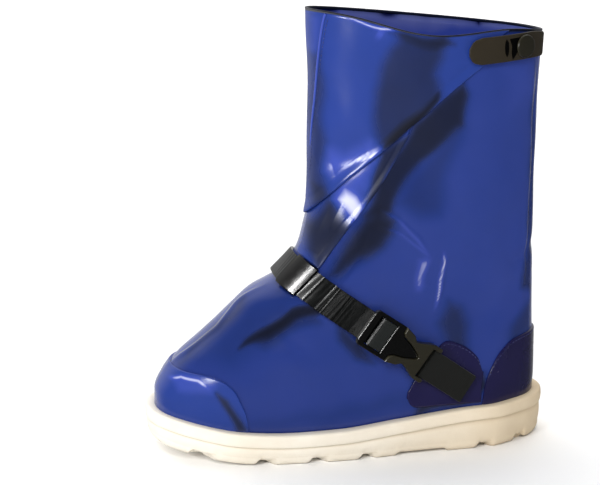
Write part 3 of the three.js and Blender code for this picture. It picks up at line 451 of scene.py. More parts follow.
def closeHoles(obj):
    bm = bmesh.new()
    bm.from_mesh(obj.data)
    bmesh.ops.holes_fill(bm, edges=[e for e in bm.edges if e.is_boundary], sides=0)
    bm.to_mesh(obj.data)
    bm.free()


def flipOut(obj):
    # Faces look outwards, so that bump and gloss are right
    bm = bmesh.new()
    bm.from_mesh(obj.data)
    bmesh.ops.recalc_face_normals(bm, faces=bm.faces)
    bm.to_mesh(obj.data)
    bm.free()


def fits(obj, slot, *nodes):
    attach(obj, "root")
    if nodes:
        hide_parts(*nodes)
    return obj


# Zones of painted shade (strength below 0) and painted highlight (above 0) on the outer side: layer,
# strength, soft border, corners (x, z)
paintedShadingZones = [
    ("outer", -0.45, 7, [
        (9, 298), (20, 328), (29, 339), (63, 337), (62, 321), (56, 310), (59, 293), (43, 272),
        (27, 257), (12, 252),
    ]),
    ("outer", -0.9, 3, [
        (57, 295), (58, 290), (42, 270), (25, 256), (14, 252), (14, 256), (29, 268), (46, 283),
    ]),
    ("outer", -0.5, 4, [(19, 342), (60, 336), (70, 331), (57, 329), (27, 336)]),
    ("outer", 0.06, 12, [
        (-23, 327), (9, 305), (8, 277), (11, 256), (4, 243), (-7, 232), (-22, 221), (-27, 235),
        (-27, 293),
    ]),
    ("outer", 0.45, 7, [(-24, 252), (-12, 245), (6, 259), (14, 253), (-1, 239), (-17, 229), (-25, 234)]),
    ("outer", -0.3, 4, [(-33, 223), (-26, 221), (-26, 211), (-33, 196), (-36, 191)]),
    ("outer", 0.2, 3, [(-35, 352), (-30, 353), (-31, 326), (-33, 301)]),
    ("outer", -0.4, 5, [(-36, 325), (-28, 325), (-26, 262), (-24, 215), (-36, 205)]),
    ("inner", 0.97, 6, [(-20, 211), (-11, 218), (-3, 214), (3, 206), (-3, 194), (-9, 198)]),
    ("inner", 0.4, 7, [(-14, 226), (-2, 238), (10, 243), (6, 224), (-3, 213), (-16, 216)]),
    ("inner", -0.7, 4, [
        (16, 249), (38, 263), (32, 251), (20, 231), (9, 207), (-1, 189), (2, 207), (9, 225),
    ]),
    ("inner", -0.75, 7, [
        (-30, 196), (-36, 187), (-38, 169), (-32, 156), (-23, 166), (-7, 187), (-16, 198), (-23, 212),
    ]),
    ("inner", -0.6, 5, [(-11, 178), (-29, 154), (-20, 152), (2, 185)]),
    ("upper", -0.8, 5, [
        (78, 303), (81, 294), (80, 271), (65, 257), (48, 243), (35, 226), (25, 212), (22, 200),
        (4, 200), (14, 225), (32, 253), (43, 272),
    ]),
    ("upper", -0.3, 9, [
        (81, 294), (81, 268), (73, 250), (68, 227), (64, 197), (48, 199), (27, 208), (37, 227),
        (60, 251), (75, 266),
    ]),
    ("upper", -0.85, 8, [
        (14, 205), (4, 198), (-7, 178), (-18, 161), (-22, 151), (-15, 150), (-1, 163), (17, 174),
        (27, 185), (27, 195),
    ]),
    ("upper", -0.5, 5, [
        (145, 311), (147, 270), (151, 186), (152, 124), (139, 128), (145, 161), (143, 217), (142, 284),
    ]),
    ("upper", 0.12, 12, [(110, 316), (141, 314), (141, 290), (120, 282)]),
    ("upper", 0.35, 4, [(46, 164), (55, 162), (51, 152), (49, 138), (47, 138)]),
    ("upper", -0.95, 3, [
        (-94, 93), (-78, 106), (-54, 124), (-35, 129), (-32, 123), (-51, 115), (-71, 102),
    ]),
    ("upper", -0.45, 6, [(-88, 98), (-59, 112), (-35, 122), (-32, 115), (-55, 107), (-75, 95)]),
    ("upper", -0.5, 5, [
        (-142, 77), (-130, 88), (-112, 105), (-97, 118), (-88, 127), (-93, 119), (-106, 106),
        (-120, 92),
    ]),
    ("upper", -0.55, 5, [(-18, 114), (0, 97), (11, 80), (-4, 83), (-16, 100)]),
    ("upper", -0.5, 8, [(66, 107), (73, 125), (84, 121), (92, 105), (90, 84), (78, 85)]),
    ("upper", -0.4, 7, [(132, 100), (152, 118), (154, 91), (128, 82)]),
    ("upper", -0.15, 8, [(-89, 34), (-45, 42), (42, 54), (45, 40), (-24, 32)]),
    ("upper", -0.75, 5, [(46, 32), (92, 40), (112, 50), (106, 62), (50, 52)]),
    ("cap", -0.7, 4, [(-113, 59), (-105, 55), (-97, 38), (-93, 29), (-99, 29), (-105, 44)]),
    ("cap", 0.3, 4, [(-147, 67), (-138, 72), (-114, 66), (-117, 58), (-142, 59)]),
    ("upper", -0.22, 14, [(-128, 82), (-100, 118), (-62, 142), (-36, 136), (-58, 106), (-100, 82)]),
]

# Painted highlights in thin light lines along creases: which layer, strength, width, path (x, z)
paintedHighlightLines = [
    ("upper", 0.7, 1.4, [(66, 168), (67, 158), (65.7, 136), (60.5, 118)]),
    ("upper", 0.34, 1.2, [(14, 205), (31, 194), (45.5, 181), (55, 165)]),
    ("upper", 0.28, 1, [(17, 190), (34, 183), (46, 174), (55, 165)]),
    ("upper", 0.3, 3.2, [(52, 168), (49, 150), (50.6, 137)]),
    ("inner", 0.95, 1.1, [(2, 192), (-8, 176), (-18, 160), (-30, 150)]),
    ("outer", 0.8, 1.3, [(-5, 240), (6, 247), (18, 258)]),
    ("outer", 0.8, 1.2, [(-22, 355), (-3, 349), (16, 344.5), (24, 341.5)]),
    ("outer", 0.45, 3.6, [(9, 343), (14, 340)]),
    ("cap", 0.75, 1.3, [(-150, 66), (-141, 70), (-128, 67), (-119, 61)]),
]


def insideZone(x, z, corners, soft):
    # 1 well inside the corners, 0 outside, with a border of this softness
    corners = np.asarray(corners, float)
    gap = np.full(x.shape, 1e9)
    isIn = np.zeros(x.shape, bool)
    for (ax, az), (bx, bz) in zip(corners, np.roll(corners, -1, 0)):
        dx = bx - ax
        dz = bz - az
        t = np.clip(((x - ax) * dx + (z - az) * dz) / (dx * dx + dz * dz), 0, 1)
        gap = np.minimum(gap, np.hypot(x - ax - t * dx, z - az - t * dz))
        crosses = (az > z) != (bz > z)
        isIn ^= crosses & (x < ax + dx * (z - az) / (dz if dz else 1e-9))
    return smooth(-soft, soft, np.where(isIn, gap, -gap))


# Painted shade and highlights of one layer, from -1 (shade) to 1 (light), on the outer side only
def paintedShadingAt(points, where):
    x = points[..., 0] + 1.2 * np.sin(points[..., 2] / 7)
    z = points[..., 2] + 1.2 * np.sin(points[..., 0] / 6)
    darkLeft = np.ones(x.shape)
    lightLeft = np.ones(x.shape)
    for on, strength, soft, corners in paintedShadingZones:
        if on != where:
            continue
        share = insideZone(x, z, corners, soft) * abs(strength)
        if strength < 0:
            darkLeft *= 1 - share
        else:
            lightLeft *= 1 - share
    flat = np.stack([x, z], -1)
    for on, strength, width, line in paintedHighlightLines:
        if on != where:
            continue
        gap, along = nearPath(flat, line)
        taper = smooth(0, 0.3, np.minimum(along, 1 - along) + 0.06)
        lightLeft *= 1 - strength * taper * np.exp(-(gap / width) ** 2)
    onOuter = smooth(4, -12, points[..., 1])
    return (darkLeft - lightLeft) * onOuter


# Materials

def hexColor(text):
    channels = [int(text[i:i + 2], 16) / 255 for i in (0, 2, 4)]
    linear = [c / 12.92 if c <= 0.04045 else ((c + 0.055) / 1.055) ** 2.4 for c in channels]
    return (*linear, 1)


def addNode(tree, kind, links=None, **settings):
    node = tree.nodes.new(kind)
    for key, value in settings.items():
        if hasattr(node, key):
            setattr(node, key, value)
        else:
            node.inputs[key].default_value = value
    for socket, source in (links or {}).items():
        tree.links.new(source, node.inputs[socket])
    return node


def newMaterial(name, **settings):
    material = bpy.data.materials.new(name)
    material.use_nodes = True
    shader = material.node_tree.nodes["Principled BSDF"]
    for socket, value in settings.items():
        shader.inputs[socket.replace("_", " ")].default_value = value
    return material, material.node_tree, shader


def ramp(tree, source, stops):
    node = addNode(tree, "ShaderNodeValToRGB", {"Fac": source})
    elements = node.color_ramp.elements
    while len(elements) < len(stops):
        elements.new(0.5)
    for element, (place, color) in zip(elements, stops):
        element.position = place
        element.color = hexColor(color)
    return node.outputs["Color"]


def lumps(size):
    # Scale of a noise or cell pattern whose lumps have this size in millimetres
    return 1 / (size * mm)


def bands(spacing):
    # Scale of a wave pattern with this spacing in millimetres
    return math.pi / 10 / (spacing * mm)


def patches(tree, coords, size, detail, rough):
    settings = {"Scale": lumps(size), "Detail": detail, "Roughness": rough}
    return addNode(tree, "ShaderNodeTexNoise", {"Vector": coords}, **settings).outputs["Fac"]


def remap(tree, source, low, high, fromLow=0.0, fromHigh=1.0):
    node = addNode(tree, "ShaderNodeMapRange", {"Value": source})
    ends = {"From Min": fromLow, "From Max": fromHigh, "To Min": low, "To Max": high}
    for socket, value in ends.items():
        node.inputs[socket].default_value = value
    return node.outputs["Result"]


def product(tree, first, second):
    links = {0: first, 1: second}
    return addNode(tree, "ShaderNodeMath", links, operation="MULTIPLY").outputs[0]


def tinted(tree, color, tint, share):
    # The colour multiplied by a tint, by this share
    node = addNode(tree, "ShaderNodeMix", data_type="RGBA", blend_type="MULTIPLY")
    node.inputs["Factor"].default_value = share
    tree.links.new(color, node.inputs[6])
    tree.links.new(tint, node.inputs[7])
    return node.outputs[2]


def addBump(tree, shader, layers):
    # Each layer is a height source, its strength and its depth in millimetres
    normal = None
    for source, strength, depth in layers:
        links = {"Height": source}
        if normal:
            links["Normal"] = normal
        bump = addNode(tree, "ShaderNodeBump", links, Strength=strength, Distance=depth * mm)
        normal = bump.outputs["Normal"]
    tree.links.new(normal, shader.inputs["Normal"])


def coatedCloth(name, shades, rough=0.17):
    # Woven nylon under a glossy film: deep colour and sharp lights; painted shade makes it dark in its
    # creases, and dull there too, and painted highlights make it lighter.
    # Threads 0.35 mm apart show only from close by.
    material, tree, shader = newMaterial(name, Coat_Weight=0.0, IOR=1.5)
    coords = addNode(tree, "ShaderNodeTexCoord").outputs["Object"]
    # Painted shade and highlights of the piece
    paintedShading = addNode(tree, "ShaderNodeAttribute", attribute_name="paintedShading").outputs["Fac"]
    clouds = remap(tree, patches(tree, coords, 71, 3, 0.5), 0.44, 0.56)
    place = addNode(tree, "ShaderNodeMath", {0: paintedShading, 2: clouds}, operation="MULTIPLY_ADD")
    place.inputs[1].default_value = 0.5
    stops = list(zip((0, 0.24, 0.5, 0.76, 1), shades))
    tree.links.new(ramp(tree, place.outputs[0], stops), shader.inputs["Base Color"])
    smears = remap(tree, patches(tree, coords, 22.2, 4, 0.6), rough - 0.05, rough + 0.09)
    dull = remap(tree, paintedShading, 0.3, 0.0, -1.0, 0.0)
    total = addNode(tree, "ShaderNodeMath", {0: dull, 1: smears}, operation="ADD")
    tree.links.new(total.outputs[0], shader.inputs["Roughness"])
    warp = addNode(tree, "ShaderNodeTexWave", {"Vector": coords}, Scale=bands(0.35), bands_direction="Z")
    weft = addNode(tree, "ShaderNodeTexWave", {"Vector": coords}, Scale=bands(0.35), bands_direction="X")
    weave = product(tree, warp.outputs["Fac"], weft.outputs["Fac"])
    puckers = patches(tree, coords, 16.7, 3, 0.55)
    addBump(tree, shader, [(puckers, 0.2, 0.7), (weave, 0.08, 0.1)])
    return material


def foamRubber(name):
    # Moulded foam: cream and matt, a pebbled skin, a warm painted shade in its hollows, and painted
    # shade that makes it darker and warmer towards the heel
    material, tree, shader = newMaterial(name, Roughness=0.62, Specular_IOR_Level=0.35)
    coords = addNode(tree, "ShaderNodeTexCoord").outputs["Object"]
    color = ramp(tree, patches(tree, coords, 62.5, 4, 0.6), [(0.3, "e9dfcd"), (0.7, "f5eee0")])
    # Painted shade, darker and warmer towards the heel
    along = addNode(tree, "ShaderNodeSeparateXYZ", {"Vector": coords}).outputs["X"]
    toHeel = remap(tree, along, 0.0, 1.0, -20 * mm, 170 * mm)
    color = tinted(tree, color, ramp(tree, toHeel, [(0, "ffffff"), (1, "efe0c8")]), 1.0)
    # Painted shade in the hollows, where the pointiness is low
    pointy = addNode(tree, "ShaderNodeNewGeometry").outputs["Pointiness"]
    color = tinted(tree, color, ramp(tree, pointy, [(0.44, "cdbfa3"), (0.5, "ffffff")]), 0.6)
    tree.links.new(color, shader.inputs["Base Color"])
    pebbles = addNode(tree, "ShaderNodeTexVoronoi", {"Vector": coords}, Scale=lumps(1.11))
    grain = patches(tree, coords, 2.38, 3, 0.6)
    addBump(tree, shader, [(grain, 0.35, 0.3), (pebbles.outputs["Distance"], 0.25, 0.2)])
    return material


def mouldedPlastic(name, color, edgeHighlight, rough, grainDepth=0.06):
    # Injection moulded plastic: even, with a painted highlight that makes its sharp edges paler.
    # Its grain is drawn 0.7 mm wide, coarser than the real 0.2 mm, so that it shows.
    material, tree, shader = newMaterial(name, IOR=1.5)
    coords = addNode(tree, "ShaderNodeTexCoord").outputs["Object"]
    pointy = addNode(tree, "ShaderNodeNewGeometry").outputs["Pointiness"]
    # Painted highlight on the sharp edges
    tree.links.new(ramp(tree, pointy, [(0.54, color), (0.66, edgeHighlight)]), shader.inputs["Base Color"])
    smears = remap(tree, patches(tree, coords, 6.25, 3, 0.5), rough - 0.06, rough + 0.1)
    tree.links.new(smears, shader.inputs["Roughness"])
    addBump(tree, shader, [(patches(tree, coords, 0.714, 2, 0.5), 0.3, grainDepth)])
    return material


def wovenWebbing(name, color, light):
    # Polyester webbing: matt rows of yarn along and across the tape.
    # They are drawn about 1 mm apart, twice as coarse as real yarn, so that they show.
    material, tree, shader = newMaterial(name, Roughness=0.72, Sheen_Weight=0.15)
    coords = addNode(tree, "ShaderNodeTexCoord").outputs["Object"]
    turned = addNode(tree, "ShaderNodeMapping", {"Vector": coords})
    turned.inputs["Rotation"].default_value = (0, math.radians(strap["slope"]), 0)
    links = {"Vector": turned.outputs["Vector"]}
    warp = addNode(tree, "ShaderNodeTexWave", links, Scale=bands(1.047), bands_direction="Z")
    weft = addNode(tree, "ShaderNodeTexWave", links, Scale=bands(1.208), bands_direction="X")
    yarn = product(tree, warp.outputs["Fac"], weft.outputs["Fac"])
    tree.links.new(ramp(tree, yarn, [(0, color), (1, light)]), shader.inputs["Base Color"])
    addBump(tree, shader, [(yarn, 0.6, 0.3)])
    return material


# Each cloth's colours run from painted shade, through its own colour in the middle, to painted highlight
blueCloth = coatedCloth("glossyBlueCoatedCloth", ["090b16", "1b2549", "243a84", "3a4ca6", "d4d6f0"])
navyCloth = coatedCloth("navyCoatedCloth", ["07051c", "110f30", "1a1741", "26225c", "35317c"], 0.24)
creamFoam = foamRubber("creamFoamRubber")
# The second colour of each plastic is the painted highlight of its sharp edges
blackRubber = mouldedPlastic("blackRibbedRubber", "020303", "5a5f5e", 0.22)
blackPlastic = mouldedPlastic("blackMouldedPlastic", "020202", "6a6a5c", 0.16)
olivePlastic = mouldedPlastic("oliveMouldedPlastic", "201e15", "6a6652", 0.3)
oliveRubber = mouldedPlastic("oliveTabRubber", "2d271c", "4e4636", 0.36, 0.1)
blackWebbing = wovenWebbing("blackWovenWebbing", "040504", "14160f")
paleThread = wovenWebbing("paleStitchThread", "1e2450", "404a92")
# The shade inside the tab's slot and cut: black and matt
shade = {"Base_Color": hexColor("030303"), "Roughness": 0.9, "Specular_IOR_Level": 0.1}
cutShade = newMaterial("shadedCut", **shade)[0]
print("materials made")


# Sole of foam with its parting step, rounded blocks and zigzag tread

def treadDepthAt(x, y):
    depth = np.zeros_like(x)
    heelBlock = heelX - sole["heelBlock"] * sole["length"]
    arch = heelX - sole["arch"] * sole["length"]
    rows = [heelBlock + sole["pitch"], heelBlock + 2 * sole["pitch"]]
    place = arch - 0.5 * sole["pitch"]
    while place > toeX + 0.12 * sole["length"]:
        rows.append(place)
        place -= sole["pitch"]
    legWidth = sole["ballWidth"] * 1.02 / sole["legs"]
    start = -sole["ballWidth"] * 0.51
    flat = np.stack([x, y, np.zeros_like(x)], -1)
    for row in rows:
        for leg in range(sole["legs"]):
            isWide = leg % 2 == 0
            fromX = row if isWide else row - sole["sway"]
            toX = row - sole["sway"] if isWide else row
            path = np.array([(fromX, start + leg * legWidth, 0), (toX, start + (leg + 1) * legWidth, 0)])
            gap, _ = nearPath(flat, path)
            half = (sole["wide"] if isWide else sole["thin"]) / 2
            deep = sole["treadDepth"] if isWide else 0.6 * sole["treadDepth"]
            depth = np.maximum(depth, deep * (1 - smooth(half - 1.2, half + 1.4, gap)))
    inArch = smooth(arch - 0.5, arch + 2.5, x) * (1 - smooth(heelBlock - 2.5, heelBlock + 0.5, x))
    return np.maximum(depth, sole["archDepth"] * inArch)


def soleRing(inset, heightAt, narrow=1.0):
    turn = np.arange(sole["columns"]) * 2 * math.pi / sole["columns"]
    share = (1 - np.cos(turn)) / 2
    isOuter = np.sin(turn) >= 0
    half = planHalf(share, inset, isOuter) * narrow
    x = mix(heelX - inset, toeX + inset, share)
    return np.stack([x, np.where(isOuter, -half, half), heightAt(x)], -1)


def makeSole():
    seat = sole["flange"] - 0.4
    band = sole["band"]
    step = sole["step"]
    lip = sole["lip"]
    bottom = sole["edgeRound"]

    def lowWall(x, share):
        return mix(soleTop(x) - band - 0.3, soleBottom(x) + bottom, share)

    rings = [
        soleRing(seat, lambda x: soleTop(x) - sole["recess"]),
        soleRing(seat, lambda x: soleTop(x) - 1.2),
        soleRing(seat - 0.5, lambda x: soleTop(x) - 0.2),
        soleRing(seat - 1.5, soleTop),
        soleRing(seat * 0.5, lambda x: soleTop(x) + 0.25),
    ]
    for k in range(7):
        angle = math.radians(90 * k / 6)
        inset = lip * (1 - math.sin(angle))
        rings.append(soleRing(inset, lambda x, a=angle: soleTop(x) - lip * (1 - math.cos(a))))
    for k in range(1, 7):
        share = k / 6
        inset = -sole["bandBulge"] * math.sin(math.pi * share)
        rings.append(soleRing(inset, lambda x, s=share: soleTop(x) - mix(lip, band - 0.6, s)))
    rings.append(soleRing(0.5, lambda x: soleTop(x) - band))
    rings.append(soleRing(step, lambda x: soleTop(x) - band - 0.3))
    lowFrom = len(rings)
    for k in range(1, 9):
        share = k / 8
        inset = step - sole["lowBulge"] * math.sin(math.pi * min(share * 1.15, 1))
        rings.append(soleRing(inset, lambda x, s=share: lowWall(x, s)))
    for k in range(1, 9):
        angle = math.radians(90 * k / 8)
        inset = step + bottom * (1 - math.cos(angle))
        rings.append(soleRing(inset, lambda x, a=angle: soleBottom(x) + bottom * (1 - math.sin(a))))
    for k in range(1, sole["rings"]):
        rings.append(soleRing(step + bottom, soleBottom, 1 - k / (sole["rings"] + 0.5)))
    points = np.stack(rings)
    low = points[lowFrom:]
    cut = treadDepthAt(low[..., 0], low[..., 1])
    above = low[..., 2] - soleBottom(low[..., 0])
    reach = 1 - smooth(1.5, 8, above)
    low[..., 2] += cut * reach * 0.8
    # The ends of the channels also bite into the side wall
    bite = cut * smooth(1, 5, above) * (1 - smooth(5, 15, above)) * 0.2
    low[..., 1] -= np.sign(low[..., 1]) * bite
    faces = gridFaces(len(rings), sole["columns"], True)
    foam = newObject("sole_foam", points, faces, creamFoam)
    closeHoles(foam)
    foam.data.polygons.foreach_set("use_smooth", [True] * len(foam.data.polygons))
    flipOut(foam)
    fits(foam, "sole", "outsole")


makeSole()
print("sole made")


# Cloth foot and shaft, open at the rim

# Section of the hem that runs round the rim: lift off the cloth, height above the last row
rimHem = [
    (0.15, 0.3), (0.1, 0.8), (-0.3, 1.2), (-0.8, 1.3),
    (-1.3, 1.1), (-1.6, 0.5), (-1.6, -0.4), (-1.5, -1.4),
]
# Painted light over the whole cloth and on its inside near the rim, painted shade on the hem
upperPaintedShading = {"all": 0.15, "inside": 0.42, "hem": -0.9}


def makeUpper():
    middle = np.linspace(0, rimLevel, 400)
    length = runLength(skin(middle, np.full(400, math.pi / 2)))
    levels = np.interp(np.linspace(0, length[-1], cloth["rows"]), length, middle)
    turns = np.arange(cloth["columns"]) * 2 * math.pi / cloth["columns"]
    level, turn = np.meshgrid(levels, turns, indexing="ij")
    outside = onCloth(level, turn)
    rimLevels = np.full(cloth["columns"], float(rimLevel))
    rim = [onCloth(rimLevels, turns, lift) + (0, 0, up) for lift, up in rimHem]
    insideLevels = np.concatenate([np.linspace(rimLevel, 1.2, 130), [0.9]])
    level, turn = np.meshgrid(insideLevels, turns, indexing="ij")
    inside = onCloth(level, turn, -cloth["thickness"])
    points = np.concatenate([outside, np.stack(rim), inside])
    # Painted shade and highlights of the outer side, painted light over all and on the inside near the
    # rim, painted shade on the hem
    paintedShading = paintedShadingAt(points, "upper") + upperPaintedShading["all"]
    paintedShading[len(outside):] += upperPaintedShading["inside"] * smooth(285, 345, points[len(outside):, :, 2])
    paintedShading[len(outside) - 1:len(outside) + len(rim)] = upperPaintedShading["hem"]
    faces = gridFaces(len(points), cloth["columns"], True)
    obj = newObject("upper_cloth", points, faces, blueCloth, paintedShading)
    closeHoles(obj)
    flipOut(obj)
    fits(obj, "coated_cloth", "upper")


makeUpper()
print("upper made")


# Layers bonded on the cloth, with rounded edges

layer = {"gap": 0.4, "cap": 1.3, "fold": 0.9, "roll": 0.9, "inset": 0.7}
toeCap = {
    "height": 73.5,
    "back": 78.6,
    "edge": [
        (0, 1), (0.27, 1), (0.4, 0.985), (0.63, 0.965), (0.77, 0.915), (0.868, 0.826), (0.934, 0.685),
        (0.981, 0.539), (1, 0.386),
    ],
}
counter = {
    "height": 91.5,
    "front": 64,
    "edge": [
        (0, 1), (0.29, 0.99), (0.53, 0.966), (0.76, 0.868), (0.886, 0.733), (0.964, 0.58), (1, 0.4),
    ],
}
patch = {
    "height": 92.8,
    "front": 127.4,
    "length": 62.8,
    "corner": 8,
    "foot": 0.42,
    "middle": 0.6,
    "edge": [
        (0, 0.57), (0.09, 0.68), (0.29, 0.86), (0.515, 1), (0.72, 0.953), (0.93, 0.835), (1, 0.7),
    ],
}
patchFront = heelX - patch["front"]
toeCapLine = shareLine(toeCap["edge"], toeX, toeCap["back"], toeCap["height"])
counterLine = shareLine(list(reversed(counter["edge"])), heelX, -counter["front"], counter["height"])
patchLine = shareLine(patch["edge"], patchFront, patch["length"], patch["height"])


def turnAtSole(x):
    return turnAt(x, soleTop(x) + 1)


counterTurn = turnAtSole(heelX - counter["front"])


def borderLift(count, full):
    lift = np.full(count, full)
    lift[[0, -1]] = -0.4
    lift[[1, -2]] = full * 0.62
    return lift


def belowSole(x):
    return soleTop(x) - 0.5


def bondedLayer(name, material, turns, lower, upper, rows, slot, node):
    inset = layer["inset"]
    columns = np.concatenate([[turns[0], turns[0]], turns[1:-1], [turns[-1], turns[-1]]])
    low = levelAt(columns, lower)
    high = np.maximum(levelAt(columns, upper), low + 0.06)
    length = np.maximum(np.linalg.norm(skin(high, columns) - skin(low, columns), axis=-1), 3)
    edge = inset / length
    level = [mix(low, high, mix(edge, 1 - edge, share)) for share in np.linspace(0, 1, rows)]
    level = np.stack([low, low, *level, high, high])
    turn = np.broadcast_to(columns, level.shape)
    full = layer["gap"] + layer["cap"]
    lift = np.minimum(borderLift(len(level), full)[:, None], borderLift(len(columns), full)[None, :])
    points = onCloth(level, turn, lift)
    # Painted shade and highlights of the toe cap's zones
    obj = newObject(name, points, gridFaces(len(level), len(columns)), material, paintedShadingAt(points, "cap"))
    fits(obj, slot, node)


def makeToeCap():
    end = turnAtSole(toeX + toeCap["back"])
    turns = np.linspace(end, 2 * math.pi - end, 220)
    bondedLayer("toe_cap_cloth", blueCloth, turns, belowSole, toeCapLine, 60, "coated_cloth", "toe_cap")


def makeCounter():
    turns = np.linspace(-counterTurn, counterTurn, 200)
    slot = "dark_coated_cloth"
    bondedLayer("heel_counter_cloth", navyCloth, turns, belowSole, counterLine, 60, slot, "heel_counter")


def makePatch():
    middle = patch["height"] * patch["middle"]
    turns = np.linspace(turnAt(patchFront + patch["length"], middle), turnAt(patchFront, middle), 90)

    def lower(x):
        # Rounded off at the front corner
        corner = np.clip(patch["corner"] - x + patchFront, 0, patch["corner"])
        rise = patch["corner"] - np.sqrt(patch["corner"] ** 2 - corner ** 2)
        return np.maximum(soleTop(x) + 0.7, patch["foot"] * patch["height"]) + rise

    slot = "dark_coated_cloth"
    bondedLayer("strap_patch_cloth", navyCloth, turns, lower, patchLine, 50, slot, "strap_patch")


makeToeCap()
makeCounter()
makePatch()


# Plies of the folded gusset: the cloth turns round its lower edge

outerPly = {
    "rear": 0.8,
    "flat": (0.228, 0.182),
    "area": 0.0186,
    "columns": 190,
    "rows": 90,
    "edge": [
        (-0.03, 0.53), (0.056, 0.594), (0.138, 0.643), (0.32, 0.727), (0.5, 0.809), (0.713, 0.897),
        (0.82, 0.94),
    ],
}
innerPly = {
    "rear": 9,
    "top": 0.045,
    "flat": (0.165, 0.121),
    "area": 0.0067,
    "columns": 130,
    "rows": 50,
    "edge": [
        (-0.03, 0.405), (0.016, 0.432), (0.082, 0.485), (0.164, 0.551), (0.274, 0.64), (0.401, 0.759),
        (0.473, 0.823),
    ],
}
outerEdge = shareLine(outerPly["edge"], shaftFront, cloth["length"], cloth["height"])
innerEdge = shareLine(innerPly["edge"], shaftFront, cloth["length"], cloth["height"])
foldFront = 0.965 * math.pi
foldStack = layer["fold"] + layer["roll"] + 2 * layer["gap"]
seamFront = shaftFront + 0.43 * cloth["length"]


def strapTopLine(x):
    slope = math.radians(strap["slope"])
    clear = (strap["width"] / 2 + 2.5) / math.cos(slope)
    return strap["rearZ"] + (strap["rearX"] - x) * math.tan(slope) + clear


def foldedPly(name, turns, edge, upper, base, node, where, rows, hemmed=False):
    thickness = layer["fold"]
    # Height above the edge and lift: round the fold from below, then over it and down to the ply
    fold = [
        (16, 0.1), (9, 0.15), (4, 0.2), (1.6, 0.3), (0.5, 0.7), (0, 1.5), (0.1, 2.1),
        (0.7, 2.6), (1.8, 2.75), (3.4, 2.6), (5.5, 2.2), (8, 1.75), (11, 1.4),
    ]
    level = []
    lift = []
    for up, height in fold:
        level.append(levelAt(turns, lambda x, u=up: np.minimum(edge(x) + u, upper(x))))
        lift.append(height * (thickness + layer["roll"]) / 2.5)
    start = level[-1]
    top = np.maximum(levelAt(turns, upper), start)
    for k in range(1, rows + 1):
        share = k / rows
        level.append(mix(start, top, share))
        lift.append(thickness + 0.2 * (1 - share))
    ends = [thickness * 0.6, -0.5, -3.0] if hemmed else [thickness * 0.6, -0.5]
    level = np.stack(level + [level[-1]] * len(ends))
    turn = np.broadcast_to(turns, level.shape)
    full = base(skin(level, turn)[..., 0]) + np.array(lift + ends)[:, None]
    # The ends of the ply go down to the cloth
    columns = np.arange(len(turns))
    sink = (smooth(0, 2.2, columns) * smooth(0, 2.2, columns[::-1]))[None, :]
    points = onCloth(level, turn, mix(-0.3, full, sink))
    # Painted shade and highlights of the ply, and painted shade on its hem
    paintedShading = paintedShadingAt(points, where)
    if hemmed:
        points[-3:, :, 2] += np.array([0.4, 0.6, 0.6])[:, None]
        paintedShading[-3:] = upperPaintedShading["hem"]
    ply = newObject(name, points, gridFaces(len(level), len(turns)), blueCloth, paintedShading)
    return fits(ply, "coated_cloth", node)


def makeOuterPly():
    rear = shaftFront + outerPly["rear"] * cloth["length"]
    turns = np.linspace(turnAt(rear, float(outerEdge(rear))), foldFront, outerPly["columns"])

    def overInner(x):
        return layer["gap"] + foldStack * smooth(0, 1, (seamFront + 18 - x) / 40)

    def aboveRim(x):
        return np.full_like(x, 10 * cloth["height"])

    ply = foldedPly(
        "gusset_outer_cloth", turns, outerEdge, aboveRim, overInner,
        "gusset_outer_fold", "outer", outerPly["rows"], True,
    )


def makeInnerPly():
    rear = seamFront - innerPly["rear"]
    turns = np.linspace(turnAt(rear, float(innerEdge(rear))), foldFront, innerPly["columns"])

    def lower(x):
        return np.maximum(innerEdge(x), strapTopLine(x))

    def upper(x):
        return outerEdge(x) + innerPly["top"] * cloth["height"]

    def onShaft(x):
        return np.full_like(x, layer["gap"])

    ply = foldedPly(
        "gusset_inner_cloth", turns, lower, upper, onShaft,
        "gusset_inner_fold", "inner", innerPly["rows"],
    )


# Welt of the front seam: its width, ends as levels and as shares of half a turn, and bend
frontSeam = {"width": 3, "lowest": 13.6, "top": 0.825, "foot": 0.945, "bend": 0.7}


def makeFrontSeam():
    # It thins out into the front edge of the ply
    share = np.linspace(0, 1, 150)
    levels = mix(rimLevel, frontSeam["lowest"], share)
    turns = mix(frontSeam["top"], frontSeam["foot"], share ** frontSeam["bend"]) * math.pi
    thin = smooth(0.55, 1, share)
    bed = layer["gap"] + foldStack + layer["fold"]
    middle = onCloth(levels, turns)
    out = skinNormal(levels, turns)
    across = unit(np.cross(np.gradient(middle, axis=0), out))
    rows = []
    for side, lift in ((-1, -0.6), (-0.75, 0.7), (-0.3, 1.05), (0.3, 1.05), (0.75, 0.7), (1, -0.6)):
        shift = (side * frontSeam["width"] / 2 * (1 - 0.5 * thin))[:, None]
        height = (bed + lift * (1 - 0.8 * thin) - (foldStack + 0.5) * thin * 0.5)[:, None]
        rows.append(middle + across * shift + out * height)
    points = np.stack(rows, 1)
    # Painted shade along the welt's sides and painted highlight along its crest
    paintedShading = np.broadcast_to(np.array([-0.8, 0.1, 0.5, 0.5, 0.1, -0.8]), points.shape[:2])
    obj = newObject("front_seam", points, gridFaces(*points.shape[:2]), blueCloth, paintedShading)
    flipOut(obj)
    fits(obj, "coated_cloth", "front_seam_welt")


makeOuterPly()
makeInnerPly()
makeFrontSeam()
print("layers made")


# Threads of the seams

thread = {"pitch": 3.4, "length": 2.1, "radius": 0.3, "sides": 6, "inset": 2.2}


